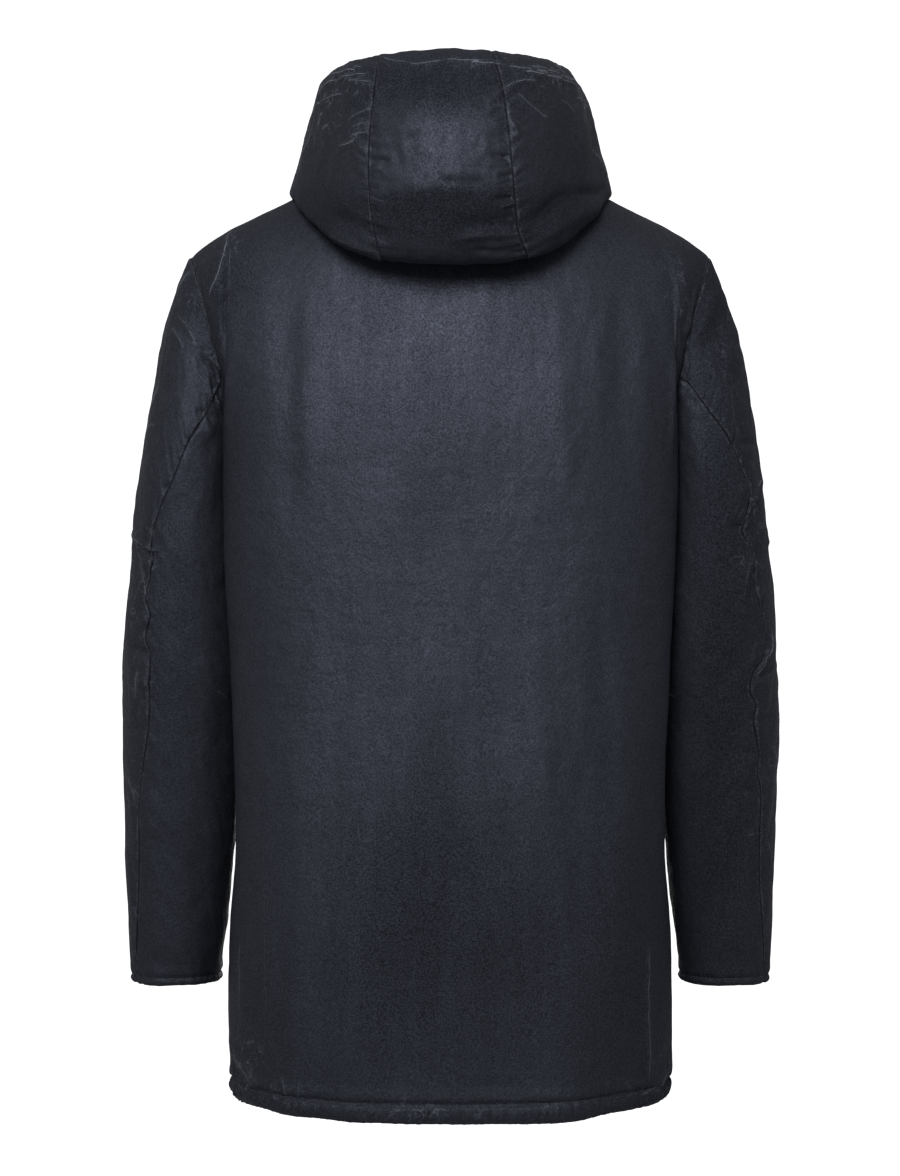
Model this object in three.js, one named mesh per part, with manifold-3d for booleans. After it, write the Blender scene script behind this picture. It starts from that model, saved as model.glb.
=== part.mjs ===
// A padded, hooded, waxed cotton jacket, worn length to the thigh, filled out as on a wearer.
// Millimetres, +Z up, the front faces -Y and the wearer's left is +X.
// The origin is between the wearer's shoulders, level with the top of the shoulder seams at the neck.
import * as THREE from "three";
import { mergeVertices } from "three/addons/utils/BufferGeometryUtils.js";
import Module from "manifold-3d";

const wasm = await Module();
wasm.setup();

// Cloth and seams
const WALL = 3; // waxed cotton, wadding and lining together
const SEAM = 0.3; // between two sewn pieces

// Body
const HEM_Z = -877;
const UNDERARM_Z = -275;
const SQUARENESS = 0.7; // exponent of the body's sections: 1 is an ellipse, less is squarer
const HEM_DIP = { deep: 8, fade: 120 }; // how much lower the hem is at the centre, and how far up that shows
const NECK_X = 80;
const NECK_U = 0.3; // share of the half panel's top edge that is neckline
const SHOULDER = { x: 245, slope: 0.475, roundFrom: 200, round: 8 };
const ARMHOLE = { x: 203.4, flare: 41.6, flareCurve: 1.6, lean: 0.18, seamDepth: 3.45 };
const SHOULDER_STEP = { in: 1.3, down: 2.7 }; // from the outer to the inner edge along the shoulder seam
const BODY_ARC = 2.25; // how squarely a panel turns over towards the shoulder
const BODY_LEAN = 1.6; // how late a panel narrows towards its top edge
const EDGE_PULL = 3.2; // how near the armhole the panel starts to follow it

// What differs between the two faces of the body: which way along Y it is, its column of depths in
// the table of sections, the degrees from the side seam that the arm presses in, the neckline's
// depth, drop and curve, the armhole's depth, how far the centre turns over at the neck, the height
// of the fold beside the armhole and half of the strip of zip that shows between the fronts.
const BACK = {
  y: 1,
  depth: "back",
  pressed: 18,
  neck: { depth: 79, drop: 25, curve: 2 },
  armhole: 66,
  turnsOver: 0.94,
  fold: 4.5,
  placket: 0,
};
const FRONT = {
  y: -1,
  depth: "front",
  pressed: 32,
  neck: { depth: 110, drop: 84.6, curve: 3.2 },
  armhole: 62,
  turnsOver: 0.9,
  fold: 2.25,
  placket: 6,
};

// Body sections, from the hem up: the half width with nothing pressing on it, the share that the
// arm presses in at the side, and the depths behind and in front of the side seams.
const BODY = [
  { z: -877, half: 202.5, pressed: 0.0, back: 148, front: 130 },
  { z: -863, half: 205.0, pressed: 0.0, back: 148.5, front: 130.5 },
  { z: -843, half: 207.5, pressed: 0.0, back: 149, front: 131 },
  { z: -780, half: 208.5, pressed: 0.0, back: 149, front: 131 },
  { z: -700, half: 208.0, pressed: 0.012, back: 146, front: 130 },
  { z: -620, half: 210.0, pressed: 0.05, back: 141, front: 128 },
  { z: -540, half: 214.0, pressed: 0.092, back: 137, front: 127 },
  { z: -460, half: 218.5, pressed: 0.12, back: 134.5, front: 126 },
  { z: -380, half: 223.0, pressed: 0.134, back: 135, front: 125 },
  { z: -320, half: 224.5, pressed: 0.12, back: 137, front: 123 },
  { z: -275, half: 224.0, pressed: 0.092, back: 138, front: 120 },
];

// Hem tunnel: how far the cloth stands out at a distance above the hem. The low row is its stitching.
const HEM_RELIEF = [
  { up: 0, out: 0.0 },
  { up: 4, out: 1.8 },
  { up: 9, out: 2.6 },
  { up: 14, out: 1.8 },
  { up: 17.5, out: -0.6 },
  { up: 21, out: 1.0 },
  { up: 32, out: 0.0 },
];
// Gathers where the cord draws in the hem at the sides
const GATHER = { count: 5, pitch: 13, height: 2.0, fade: 48, girth: 0.8 };

// The fold of cloth that stands beside each armhole: where it is and how far it runs, as u and v of
// the panel, and how much it leans towards the arm.
const FOLD = { u: 0.9, width: 0.055, low: 0.35, lowFade: 0.5, high: 1.93, highFade: 0.25, lean: 0.3 };

// Sleeves
const CUFF_Z = -778;
const CAP_Z = -340; // below this the sleeve's sections are level
const SLEEVE_SQUARENESS = 0.92;
// Sleeve sections: where the outer, inner, back and front sides are.
const SLEEVE = [
  { z: -778, outer: 305.5, inner: 222.0, back: 0, front: -102 },
  { z: -750, outer: 307.5, inner: 219.5, back: 6, front: -101 },
  { z: -700, outer: 309.5, inner: 213.0, back: 16, front: -99 },
  { z: -620, outer: 311.5, inner: 204.5, back: 30, front: -96 },
  { z: -540, outer: 312.5, inner: 199.0, back: 44, front: -94 },
  { z: -470, outer: 311.0, inner: 197.0, back: 56, front: -92 },
  { z: -400, outer: 306.0, inner: 197.5, back: 66, front: -90 },
  { z: -340, outer: 299.5, inner: 199.5, back: 72, front: -88 },
];
const SLEEVE_RADIUS = 55; // for the width of its seams
// Where the sleeve's two long seams run: degrees from its outer side towards the back, by length
// along the sleeve, 0 at the armhole and 1 at the cuff.
const SLEEVE_SEAMS = [
  { t: 0.0, behind: 105, before: -135 },
  { t: 0.12, behind: 95, before: -128 },
  { t: 0.22, behind: 80, before: -126 },
  { t: 0.32, behind: 60, before: -125 },
  { t: 0.45, behind: 60, before: -124 },
  { t: 0.57, behind: 64, before: -123 },
  { t: 0.72, behind: 51, before: -122 },
  { t: 0.86, behind: 46, before: -121 },
  { t: 1.0, behind: 33, before: -120 },
];
const CAP_T = 0.3; // share of the sleeve's length that is its cap
// How the cap leaves the shoulder and the underarm: outwards, backwards and down.
const CAP_LEAVE = {
  shoulder: { out: 0.37, back: 0.27, down: 0.7 },
  underarm: { out: 0.09, back: 0.45, down: 0.9 },
};
// The cuff's turned edge: how far the cloth stands out at a distance above the edge.
const CUFF_RELIEF = [
  { up: 0, out: 0.0 },
  { up: 3.5, out: 1.0 },
  { up: 7.5, out: -0.5 },
  { up: 12, out: 0.5 },
  { up: 20, out: 0.0 },
];

// Hood, lying back with its front drawn up to the throat. Its rings run from the neck seam over the
// seam's roll, down its underside to the fold that hangs on the back, up its outside, over the rim
// and down inside. Each row has the ring's half width, its reach behind and before the shoulder
// line, its heights behind, beside and before, and where the centre panel's two seams cross it.
const HOOD = [
  {
    s: 0, half: 79.6, back: 78.6, front: 109.8,
    zBack: -24.2, zSide: 0.7, zFront: -83.8, left: 48.46, right: 48.46,
  },
  { s: 1, half: 78, back: 76.5, front: 110.4, zBack: -17, zSide: 7, zFront: -80.5, left: 48.5, right: 48.5 },
  { s: 2, half: 83, back: 81, front: 111.4, zBack: -9, zSide: 12, zFront: -77.5, left: 49, right: 49 },
  { s: 3, half: 95, back: 91, front: 113, zBack: -16, zSide: 7, zFront: -74, left: 51, right: 51 },
  { s: 4, half: 117, back: 109, front: 115, zBack: -52, zSide: -9, zFront: -70, left: 55, right: 56 },
  { s: 5, half: 137, back: 129.5, front: 117, zBack: -91.5, zSide: -21, zFront: -65.5, left: 58, right: 62 },
  { s: 6, half: 148, back: 150, front: 119.5, zBack: -106, zSide: -29, zFront: -60, left: 59, right: 67 },
  { s: 7, half: 152, back: 171, front: 121.5, zBack: -104.5, zSide: -26, zFront: -54, left: 62.5, right: 69 },
  { s: 8, half: 147.5, back: 188, front: 123.5, zBack: -82, zSide: -11, zFront: -44, left: 69, right: 60.5 },
  { s: 9, half: 141, back: 197, front: 124.5, zBack: -42, zSide: 9, zFront: -32, left: 73, right: 56.5 },
  { s: 10, half: 136, back: 196, front: 124, zBack: 2, zSide: 30, zFront: -20, left: 72.5, right: 52.5 },
  { s: 11, half: 129.5, back: 184, front: 122, zBack: 45, zSide: 54, zFront: -9, left: 68, right: 47 },
  { s: 12, half: 122, back: 164, front: 118.5, zBack: 76, zSide: 74, zFront: 0, left: 66, right: 40 },
  { s: 13, half: 111, back: 140, front: 113, zBack: 87.5, zSide: 84.5, zFront: 4, left: 64, right: 38 },
  { s: 14, half: 98, back: 121, front: 108, zBack: 81, zSide: 80, zFront: 0, left: 60, right: 37 },
  { s: 15, half: 92, back: 112, front: 106, zBack: 60, zSide: 60, zFront: -12, left: 56, right: 37 },
  { s: 16, half: 89, back: 108, front: 105, zBack: 40, zSide: 40, zFront: -28, left: 54, right: 37 },
];
const HOOD_SQUARENESS = 0.95;
const HOOD_SHAPED = 6; // by this ring the hood has changed from the neckline's shape to its own
// How flat the hood's lowest part is, seen from behind, and the rings between which it becomes so.
const HOOD_DROOP = { curve: 3.4, from: 4, to: 7.5 };

// Front zip
const TAPE = { half: 13, thick: 1.2, behind: 0.6 };
// The tape lies on the fronts' inner face at this share of a half panel, and on the hood's at this
// turn from the centre.
const TAPE_U = 0.045;
const TAPE_TURN = 0.1;
const ZIP_END = 3; // the zip starts this far above the hem
const CHAIN = { half: 2.6, high: 2.7 };
const SLIDER_Z = -31;
const SLIDER_RING = 9; // the hood's ring at that height
const SLIDER = { half: 4.4, long: 12, plate: 1.6, lift: 0.35, flange: 1.3, flangeDeep: 2.65, sunk: 0.05 };
const BRIDGE = { half: 0.8, hole: 1.55, bar: 1.0, axis: 2.0 };
const PULL = { half: 3.4, long: 23, thick: 1.4, window: 1.7, windowLong: 4.6, bar: 0.7, tip: 2.6 };

// Mesh steps, one entry for each row of points
const BODY_UPS = [0, 4, 9, 14, 17.5, 21, 32, 55, 90, 135, 185, 235, 285, 335, 385, 435, 485, 525, 565, 605];
const CAP_STEPS = 12;
const NECK_FROM = 1.8; // from this v up, the panels' columns are as close as the neckline needs
const NECK_STEPS = 12; // in each quarter of the neckline
const HOOD_STEPS = { rings: 26, centre: 6, side: 15 };
const SLEEVE_STEPS = { turn: 24, top: 13, under: 9 }; // turn is the steps of a full turn at the armhole
const SLEEVE_TS = [
  0, 0.03, 0.065, 0.105, 0.15, 0.2, 0.25, CAP_T, 0.36, 0.43, 0.5, 0.57, 0.64, 0.72, 0.8, 0.88, 0.94, 0.973,
  0.983, 0.9917, 1,
];
const ZIP_STEPS = 9; // above the underarm's level
const ZIP_RINGS = [1.5, 3, 5, 6.5, 8, 9, 10, 11]; // the hood's rings that the zip passes
const SLOPE_REACH = 1e-3; // how far a slope is measured to each side, in u or v
const END_SHARE = 0.015; // a point nearer the end of a row than this share of it is left out

const { sin, cos, abs, sign, min, max, exp, PI, hypot } = Math;
const QUARTER = PI / 2;
const lerp = (a, b, t) => a + (b - a) * t;
const clamp01 = (t) => min(1, max(0, t));
const ease = (t) => clamp01(t) ** 2 * (3 - 2 * clamp01(t));
const bump = (x, width) => exp(-((x / width) ** 2));
const rad = (degrees) => (degrees * PI) / 180;
const steps = (a, b, count) => Array.from({ length: count + 1 }, (_, i) => lerp(a, b, i / count));

// The value of a table's column where its key column is x, on a smooth curve through its rows.
function look(table, key, column, x) {
  const last = table.length - 1;
  const up = table[last][key] > table[0][key] ? 1 : -1;
  let i = 0;
  while (i < last - 1 && (x - table[i + 1][key]) * up > 0) i++;
  const slope = (k) => {
    const a = table[max(k - 1, 0)];
    const b = table[min(k + 1, last)];
    return (b[column] - a[column]) / (b[key] - a[key]);
  };
  const [p, q] = [table[i], table[i + 1]];
  const h = q[key] - p[key];
  const t = clamp01((x - p[key]) / h);
  return (
    (1 + 2 * t) * (1 - t) ** 2 * p[column] +
    t * (1 - t) ** 2 * h * slope(i) +
    t * t * (3 - 2 * t) * q[column] +
    t * t * (t - 1) * h * slope(i + 1)
  );
}

// A closed wall of cloth. face(u, v) is the outer face, rows gives each row's v and its list of u,
// and turn is 1 or -1 so that the outer face points out. inward(u, v) gives the step from the outer
// face to the inner one where it isn't the wall's thickness straight in.
function clothWall(face, rows, turn, inward = () => null) {
  const points = [];
  const outer = [];
  const inner = [];
  for (const { v, us } of rows) {
    const ids = us.map((u) => {
      const p = face(u, v);
      const du = minus(face(u + SLOPE_REACH, v), face(u - SLOPE_REACH, v));
      const dv = minus(face(u, v + SLOPE_REACH), face(u, v - SLOPE_REACH));
      const n = new THREE.Vector3(...du).cross(new THREE.Vector3(...dv)).normalize().multiplyScalar(turn);
      const step = inward(u, v) ?? [-WALL * n.x, -WALL * n.y, -WALL * n.z];
      points.push(p, [p[0] + step[0], p[1] + step[1], p[2] + step[2]]);
      return points.length - 2;
    });
    outer.push(ids);
    inner.push(ids.map((i) => i + 1));
  }
  const triangles = [];
  const add = (a, b, c, flip) => triangles.push(flip ? [a, c, b] : [a, b, c]);
  for (let j = 0; j + 1 < rows.length; j++) {
    for (const [ids, flip] of [[outer, turn < 0], [inner, turn > 0]]) {
      strip(ids[j], rows[j].us, ids[j + 1], rows[j + 1].us, (a, b, c) => add(a, b, c, flip));
    }
  }
  const first = outer.map((row) => row[0]);
  const last = outer.map((row) => row.at(-1));
  for (const [edge, forward] of [[outer[0], true], [last, true], [outer.at(-1), false], [first, false]]) {
    for (let i = 0; i + 1 < edge.length; i++) {
      const [a, b] = [edge[i], edge[i + 1]];
      add(a, a + 1, b, forward === turn < 0);
      add(b, a + 1, b + 1, forward === turn < 0);
    }
  }
  return geometryOf(points, triangles);
}

const minus = (a, b) => [a[0] - b[0], a[1] - b[1], a[2] - b[2]];

// Triangles between two rows of points, which may be spaced differently.
function strip(low, lowUs, high, highUs, add) {
  let [i, k] = [0, 0];
  while (i + 1 < low.length || k + 1 < high.length) {
    const lowNext = i + 1 < low.length ? lowUs[i] + lowUs[i + 1] : Infinity;
    const highNext = k + 1 < high.length ? highUs[k] + highUs[k + 1] : Infinity;
    if (lowNext <= highNext) add(low[i], low[++i], high[k]);
    else add(low[i], high[k + 1], high[k++]);
  }
}

function geometryOf(points, triangles) {
  const geometry = new THREE.BufferGeometry();
  geometry.setAttribute("position", new THREE.Float32BufferAttribute(points.flat(), 3));
  geometry.setIndex(triangles.flat());
  return geometry;
}

// Body

function shoulderZ(x) {
  const past = max(0, x - SHOULDER.roundFrom) / (SHOULDER.x - SHOULDER.roundFrom);
  return -SHOULDER.slope * (x - NECK_X) - SHOULDER.round * past ** 2;
}
const SHOULDER_Z = shoulderZ(SHOULDER.x);

// A point of the armhole's edge on the left. turn is a quarter turn down at the underarm and a
// quarter turn up at the shoulder.
function armhole(side, turn) {
  const rise = (1 + sin(turn)) / 2;
  return [
    ARMHOLE.x + ARMHOLE.flare * rise ** ARMHOLE.flareCurve,
    side.y * side.armhole * cos(turn),
    lerp(UNDERARM_Z, SHOULDER_Z, rise),
  ];
}

// The step from the outer to the inner edge along the armhole seam, the same for body and sleeve.
function armholeStep(side, turn) {
  const out = [ARMHOLE.lean * (1 + sin(turn)), side.y * cos(turn), sin(turn)];
  return out.map((c) => (-c * ARMHOLE.seamDepth) / hypot(...out));
}

// The left half of the body at or below the arms. u is 0 at the centre and 1 at the side seam.
function bodyBelow(side, u, z) {
  const phi = clamp01(u) * QUARTER;
  const fromSide = 90 * (1 - clamp01(u));
  const pressed = look(BODY, "z", "pressed", z) * exp(-((fromSide / side.pressed) ** 4));
  const half = look(BODY, "z", "half", z);
  const up = z - HEM_Z;
  const out = relief(HEM_RELIEF, up) - gather(u, half, up);
  return [
    (half + out) * sin(phi) ** SQUARENESS * (1 - pressed),
    side.y * (look(BODY, "z", side.depth, z) + out) * cos(phi) ** SQUARENESS,
    z - HEM_DIP.deep * cos(phi) ** 4 * exp(-up / HEM_DIP.fade),
  ];
}

// How far a table of relief stands out at a distance above the edge.
const relief = (table, up) => (up < table.at(-1).up ? look(table, "up", "out", up) : 0);

// Waves round the sides of the hem, which die out up the body and away from the side seam.
function gather(u, half, up) {
  const along = (1 - clamp01(u)) * QUARTER * half * GATHER.girth;
  const fade = ease(GATHER.count - along / GATHER.pitch) * bump(up, GATHER.fade);
  return (GATHER.height / 2) * (1 + cos((2 * PI * along) / GATHER.pitch)) * fade;
}

// The top edge of a half panel: the neckline, then the shoulder seam.
function topEdge({ y, neck }, u) {
  if (u < NECK_U) {
    const a = (u / NECK_U) * QUARTER;
    return [NECK_X * sin(a), y * neck.depth * cos(a), -neck.drop * (1 - sin(a) ** neck.curve)];
  }
  const x = lerp(NECK_X, SHOULDER.x, (u - NECK_U) / (1 - NECK_U));
  return [x, 0, shoulderZ(x)];
}

// Above the arms each column of points rises from the underarm's level and turns over to the top
// edge, and near the armhole it is drawn onto the armhole's edge. t is 0 at the underarm's level.
function bodyAbove(side, u, t) {
  const pull = u ** EDGE_PULL;
  const edgeRise = sin(t * QUARTER) ** 2;
  const rise = lerp(sin(t * QUARTER) ** 0.9, edgeRise, pull);
  const low = bodyBelow(side, u, UNDERARM_Z);
  const high = topEdge(side, u);
  const reach = lerp(side.turnsOver, 1, ease((3 * u) / NECK_U / 2 - 0.5));
  const over = (r) => 1 - (1 - min(r, 1) ** BODY_ARC) ** (1 / BODY_ARC);
  const turned = over(rise * reach) / over(reach);
  const shares = [rise ** BODY_LEAN, turned, rise];
  const edge = armhole(side, (2 * t - 1) * QUARTER);
  const edgeX = lerp(ARMHOLE.x, SHOULDER.x, edgeRise ** BODY_LEAN);
  const unpulled = [edgeX, 0, lerp(UNDERARM_Z, SHOULDER_Z, edgeRise)];
  return shares.map((share, i) => lerp(low[i], high[i], share) + pull * (edge[i] - unpulled[i]));
}

// A point of the body's outer face. u is 0 at the centre and 1 at the left edge, negative on the
// right; v is 0 at the hem, 1 at the underarm's level and 2 at the top edge.
function body(side, u, v) {
  const w = min(abs(u), 1);
  const p =
    v <= 1 ? bodyBelow(side, w, lerp(HEM_Z, UNDERARM_Z, max(v, 0))) : bodyAbove(side, w, min(v, 2) - 1);
  const fold = side.fold * foldAt(w, v);
  const x = p[0] + side.placket * max(0, 1 - w / NECK_U) ** 2 + FOLD.lean * fold - (SEAM / 2) * w ** 8;
  return [sign(u) * x, p[1] + side.y * (SEAM / 2 + fold), p[2]];
}

// How much of the fold beside the armhole stands at a point of the body.
function foldAt(w, v) {
  const along = ease((v - FOLD.low) / FOLD.lowFade) * ease((FOLD.high - v) / FOLD.highFade);
  return along * bump(w - FOLD.u, FOLD.width);
}

// The step to the inner face where a panel is sewn to another: along the shoulder seam, the side
// seam and the armhole.
function bodyInward(side, u, v) {
  if (abs(u) < 1) {
    return v >= 2 && abs(u) >= NECK_U ? [-sign(u) * SHOULDER_STEP.in, 0, -SHOULDER_STEP.down] : null;
  }
  if (v < 1) return [-sign(u) * WALL, 0, 0];
  const step = armholeStep(side, (2 * v - 3) * QUARTER);
  return [sign(u) * step[0], step[1], step[2]];
}

// The columns of points over a half panel: most rows, near the neckline and near the hem.
const HALF = [0, 0.1, 0.2, NECK_U, 0.4, 0.5, 0.6, 0.7, 0.78, 0.85, 0.9, 0.95, 1];
const NECK_HALF = [...steps(0, NECK_U, NECK_STEPS), ...HALF.slice(4)];
const HEM_HALF = [...steps(0, 0.7, 7), ...steps(0.76, 1, 14)];
const bothSides = (us) => [...us.slice(1).reverse().map((u) => -u), ...us];

function bodyRows(shape) {
  const low = BODY_UPS.map((up) => ({
    v: up / (UNDERARM_Z - HEM_Z),
    us: shape(up < GATHER.fade ? HEM_HALF : HALF),
  }));
  const highVs = steps(1, 2, CAP_STEPS).slice(1);
  const high = highVs.map((v) => ({ v, us: shape(v < NECK_FROM ? HALF : NECK_HALF) }));
  return [...low, ...high];
}

// Sleeves

function sleeveSection(beta, z) {
  const [outer, inner, back, front] = ["outer", "inner", "back", "front"].map((c) => look(SLEEVE, "z", c, z));
  const out = relief(CUFF_RELIEF, z - CUFF_Z);
  const round = (c) => sign(c) * abs(c) ** SLEEVE_SQUARENESS;
  return [
    (outer + inner) / 2 + ((outer - inner) / 2 + out) * round(cos(beta)),
    (back + front) / 2 + ((back - front) / 2 + out) * round(sin(beta)),
    z,
  ];
}

// A point of the left sleeve's outer face. beta is 0 at its outer side and a quarter turn at its
// back; t is 0 at the armhole and 1 at the cuff. The cap swings from the armhole to the level
// sections on a cubic curve that leaves the shoulder outwards and ends straight down.
function sleeve(beta, t) {
  if (t >= CAP_T) return sleeveSection(beta, lerp(CAP_Z, CUFF_Z, (t - CAP_T) / (1 - CAP_T)));
  const start = armhole(...armholeAt(beta));
  start[0] += SEAM / 2;
  const end = sleeveSection(beta, CAP_Z);
  const length = hypot(...minus(end, start));
  const arrive = minus(sleeveSection(beta, CAP_Z - 1), end);
  const outside = (1 + cos(beta)) / 2;
  const { shoulder, underarm } = CAP_LEAVE;
  const leave = [
    lerp(underarm.out * abs(sin(beta)), shoulder.out, outside ** 0.6),
    lerp(underarm.back, shoulder.back, outside) * sin(beta),
    -lerp(underarm.down, shoulder.down, outside),
  ];
  const h = t / CAP_T;
  const [fromStart, toEnd] = [(1 + 2 * h) * (1 - h) ** 2, h * h * (3 - 2 * h)];
  const [leaving, arriving] = [h * (1 - h) ** 2 * length, h * h * (h - 1) * length];
  return start.map((c, i) => fromStart * c + leaving * leave[i] + toEnd * end[i] + arriving * arrive[i]);
}

// The side of the body and the turn round its armhole that a turn round the sleeve meets.
const armholeAt = (beta) => [sin(beta) >= 0 ? BACK : FRONT, QUARTER - Math.acos(cos(beta))];

// One of a sleeve's two pieces: u runs from 0 to 1 round the outside, or round the underside.
function sleevePiece(side, under) {
  const ends = (t) => {
    const behind = rad(look(SLEEVE_SEAMS, "t", "behind", t));
    const before = rad(look(SLEEVE_SEAMS, "t", "before", t));
    const gap = SEAM / 2 / SLEEVE_RADIUS;
    return under ? [behind + gap, before + 2 * PI - gap] : [before + gap, behind - gap];
  };
  const face = (u, v) => {
    const t = clamp01(v);
    const p = sleeve(lerp(...ends(t), u), t);
    return [side * p[0], p[1], p[2]];
  };
  const [a, b] = ends(0);
  const us = steps(0, 1, under ? SLEEVE_STEPS.under : SLEEVE_STEPS.top);
  const turns = steps(-PI, 2 * PI, 1.5 * SLEEVE_STEPS.turn);
  const rows = SLEEVE_TS.map((t) => ({ v: t, us: t === 0 ? sharesOf(turns, a, b) : us }));
  const inward = (u, v) => {
    if (v > 0) return null;
    const step = armholeStep(...armholeAt(lerp(a, b, u)));
    return [side * step[0], step[1], step[2]];
  };
  return clothWall(face, rows, -side, inward);
}

// The turns that lie between two ends, as shares of the way from one to the other, with both ends.
function sharesOf(turns, a, b) {
  const shares = turns.map((turn) => (turn - a) / (b - a)).filter((u) => u > END_SHARE && u < 1 - END_SHARE);
  return [0, ...shares.sort((p, q) => p - q), 1];
}

// Hood

const hoodSquareness = (s) => lerp(1, HOOD_SQUARENESS, clamp01(s / HOOD_SHAPED));

// A point of the hood's outer face on ring s. theta is 0 at the centre back and positive on the left.
function hood(theta, s) {
  const of = (column) => look(HOOD, "s", column, s);
  const behind = cos(theta) > 0;
  const across = abs(sin(theta));
  const drawn = ease((s - HOOD_DROOP.from) / (HOOD_DROOP.to - HOOD_DROOP.from));
  const curve = behind ? lerp(BACK.neck.curve, HOOD_DROOP.curve, drawn) : FRONT.neck.curve;
  const past = max(0, abs(theta) / QUARTER - 1);
  const reach = abs(cos(theta)) ** hoodSquareness(s);
  return [
    sign(theta) * (of("half") * across ** hoodSquareness(s) + FRONT.placket * past ** 2),
    behind ? of("back") * reach : -of("front") * reach,
    lerp(of(behind ? "zBack" : "zFront"), of("zSide"), across ** curve),
  ];
}

// The angle at which a seam of the centre panel crosses ring s.
function hoodSeam(side, s) {
  const x = look(HOOD, "s", side > 0 ? "left" : "right", s);
  return side * Math.asin((x / look(HOOD, "s", "half", s)) ** (1 / hoodSquareness(s)));
}

// The hood's centre panel, or the side panel on one side, from its seam to the zip.
function hoodPiece(side) {
  const last = HOOD.length - 1;
  const ends = (s) => {
    const gap = SEAM / 2 / look(HOOD, "s", "half", s);
    if (side === 0) return [hoodSeam(-1, s) + gap, hoodSeam(1, s) - gap];
    return [hoodSeam(side, s) + side * gap, side * PI];
  };
  const face = (u, v) => {
    const s = min(max(v, 0), last);
    return hood(lerp(...ends(s), clamp01(u)), s);
  };
  const neckUs = sharesOf(steps(-PI, PI, 4 * NECK_STEPS), ...ends(0));
  const us = steps(0, 1, side === 0 ? HOOD_STEPS.centre : HOOD_STEPS.side);
  const rows = steps(0, last, HOOD_STEPS.rings).map((v) => ({ v, us: v === 0 ? neckUs : us }));
  return clothWall(face, rows, side < 0 ? 1 : -1);
}

// Zip

// The line down the front that the zip follows, from the hem up, with the direction out of the cloth.
function zipLine() {
  const line = [];
  for (const up of BODY_UPS) line.push(body(FRONT, TAPE_U, up / (UNDERARM_Z - HEM_Z)));
  for (const v of steps(1, 2, ZIP_STEPS).slice(1)) line.push(body(FRONT, TAPE_U, v));
  for (const s of ZIP_RINGS) line.push(hood(PI - TAPE_TURN, s));
  const flat = line.map((p) => [p[1], p[2]]).filter((p) => p[1] > HEM_Z + ZIP_END);
  return flat.map((p, i) => {
    const a = flat[max(i - 1, 0)];
    const b = flat[min(i + 1, flat.length - 1)];
    const size = hypot(b[0] - a[0], b[1] - a[1]);
    return { y: p[0], z: p[1], outY: -(b[1] - a[1]) / size, outZ: (b[0] - a[0]) / size };
  });
}

// A closed solid from rings of points, each ring the same outline at a station along a line.
function loft(rings) {
  const count = rings[0].length;
  const triangles = [];
  for (let r = 0; r + 1 < rings.length; r++) {
    for (let i = 0; i < count; i++) {
      const [a, b] = [r * count + i, r * count + ((i + 1) % count)];
      triangles.push([a, b + count, b], [a, a + count, b + count]);
    }
  }
  const outline = rings[0].map((p) => new THREE.Vector2(p[0], p[3]));
  const end = (rings.length - 1) * count;
  for (const [a, b, c] of THREE.ShapeUtils.triangulateShape(outline, [])) {
    triangles.push([a, b, c], [end + a, end + c, end + b]);
  }
  return geometryOf(rings.flat().map((p) => p.slice(0, 3)), triangles);
}

function zip() {
  const back = -(WALL + TAPE.behind);
  const outline = [
    [-TAPE.half, back - TAPE.thick],
    [TAPE.half, back - TAPE.thick],
    [TAPE.half, back],
    [CHAIN.half, back],
    [CHAIN.half, back + CHAIN.high],
    [-CHAIN.half, back + CHAIN.high],
    [-CHAIN.half, back],
    [-TAPE.half, back],
  ];
  const ring = (q) => outline.map(([x, out]) => [x, q.y + q.outY * out, q.z + q.outZ * out, out]);
  return loft(zipLine().map(ring));
}

// A closed mesh as a solid that can be joined and cut.
function solid(geometry) {
  geometry.deleteAttribute("normal");
  geometry.deleteAttribute("uv");
  const merged = mergeVertices(geometry, 1e-4);
  return new wasm.Manifold(
    new wasm.Mesh({
      numProp: 3,
      vertProperties: merged.attributes.position.array,
      triVerts: new Uint32Array(merged.index.array),
    }),
  );
}

function geometryFrom(made) {
  const m = made.getMesh();
  const geometry = new THREE.BufferGeometry();
  geometry.setAttribute("position", new THREE.BufferAttribute(m.vertProperties, 3));
  geometry.setIndex(new THREE.BufferAttribute(m.triVerts, 1));
  return geometry;
}

const box = (x, y, z, cx, cy, cz) => solid(new THREE.BoxGeometry(x, y, z).translate(cx, cy, cz));

// The slider, with its own origin on the cloth's outer face: -Y is out of the cloth. Its plate lies
// over the teeth with a flange down each side, and the bridge on it carries the pull.
const PLATE_IN = WALL + TAPE.behind - CHAIN.high - SLIDER.lift;
const PLATE_OUT = PLATE_IN - SLIDER.plate;
const BRIDGE_AXIS = PLATE_OUT - BRIDGE.axis;

function slider() {
  const { half: w, long, plate, flange, flangeDeep, sunk } = SLIDER;
  const top = box(2 * w, plate, long, 0, (PLATE_IN + PLATE_OUT) / 2, 0);
  const flanges = [-1, 1].map((side) =>
    box(flange, flangeDeep + sunk, long, side * (w - flange / 2), PLATE_IN + (flangeDeep - sunk) / 2, 0),
  );
  const loop = new THREE.Shape().absarc(0, 0, BRIDGE.hole + BRIDGE.bar, 0, 2 * PI);
  loop.holes.push(new THREE.Path().absarc(0, 0, BRIDGE.hole, 0, 2 * PI, true));
  const extrusion = { depth: 2 * BRIDGE.half, bevelEnabled: false, curveSegments: 14 };
  const ring = new THREE.ExtrudeGeometry(loop, extrusion)
    .translate(0, 0, -BRIDGE.half)
    .rotateY(QUARTER)
    .translate(0, BRIDGE_AXIS, 0);
  return geometryFrom(top.add(flanges[0]).add(flanges[1]).add(solid(ring)));
}

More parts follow.
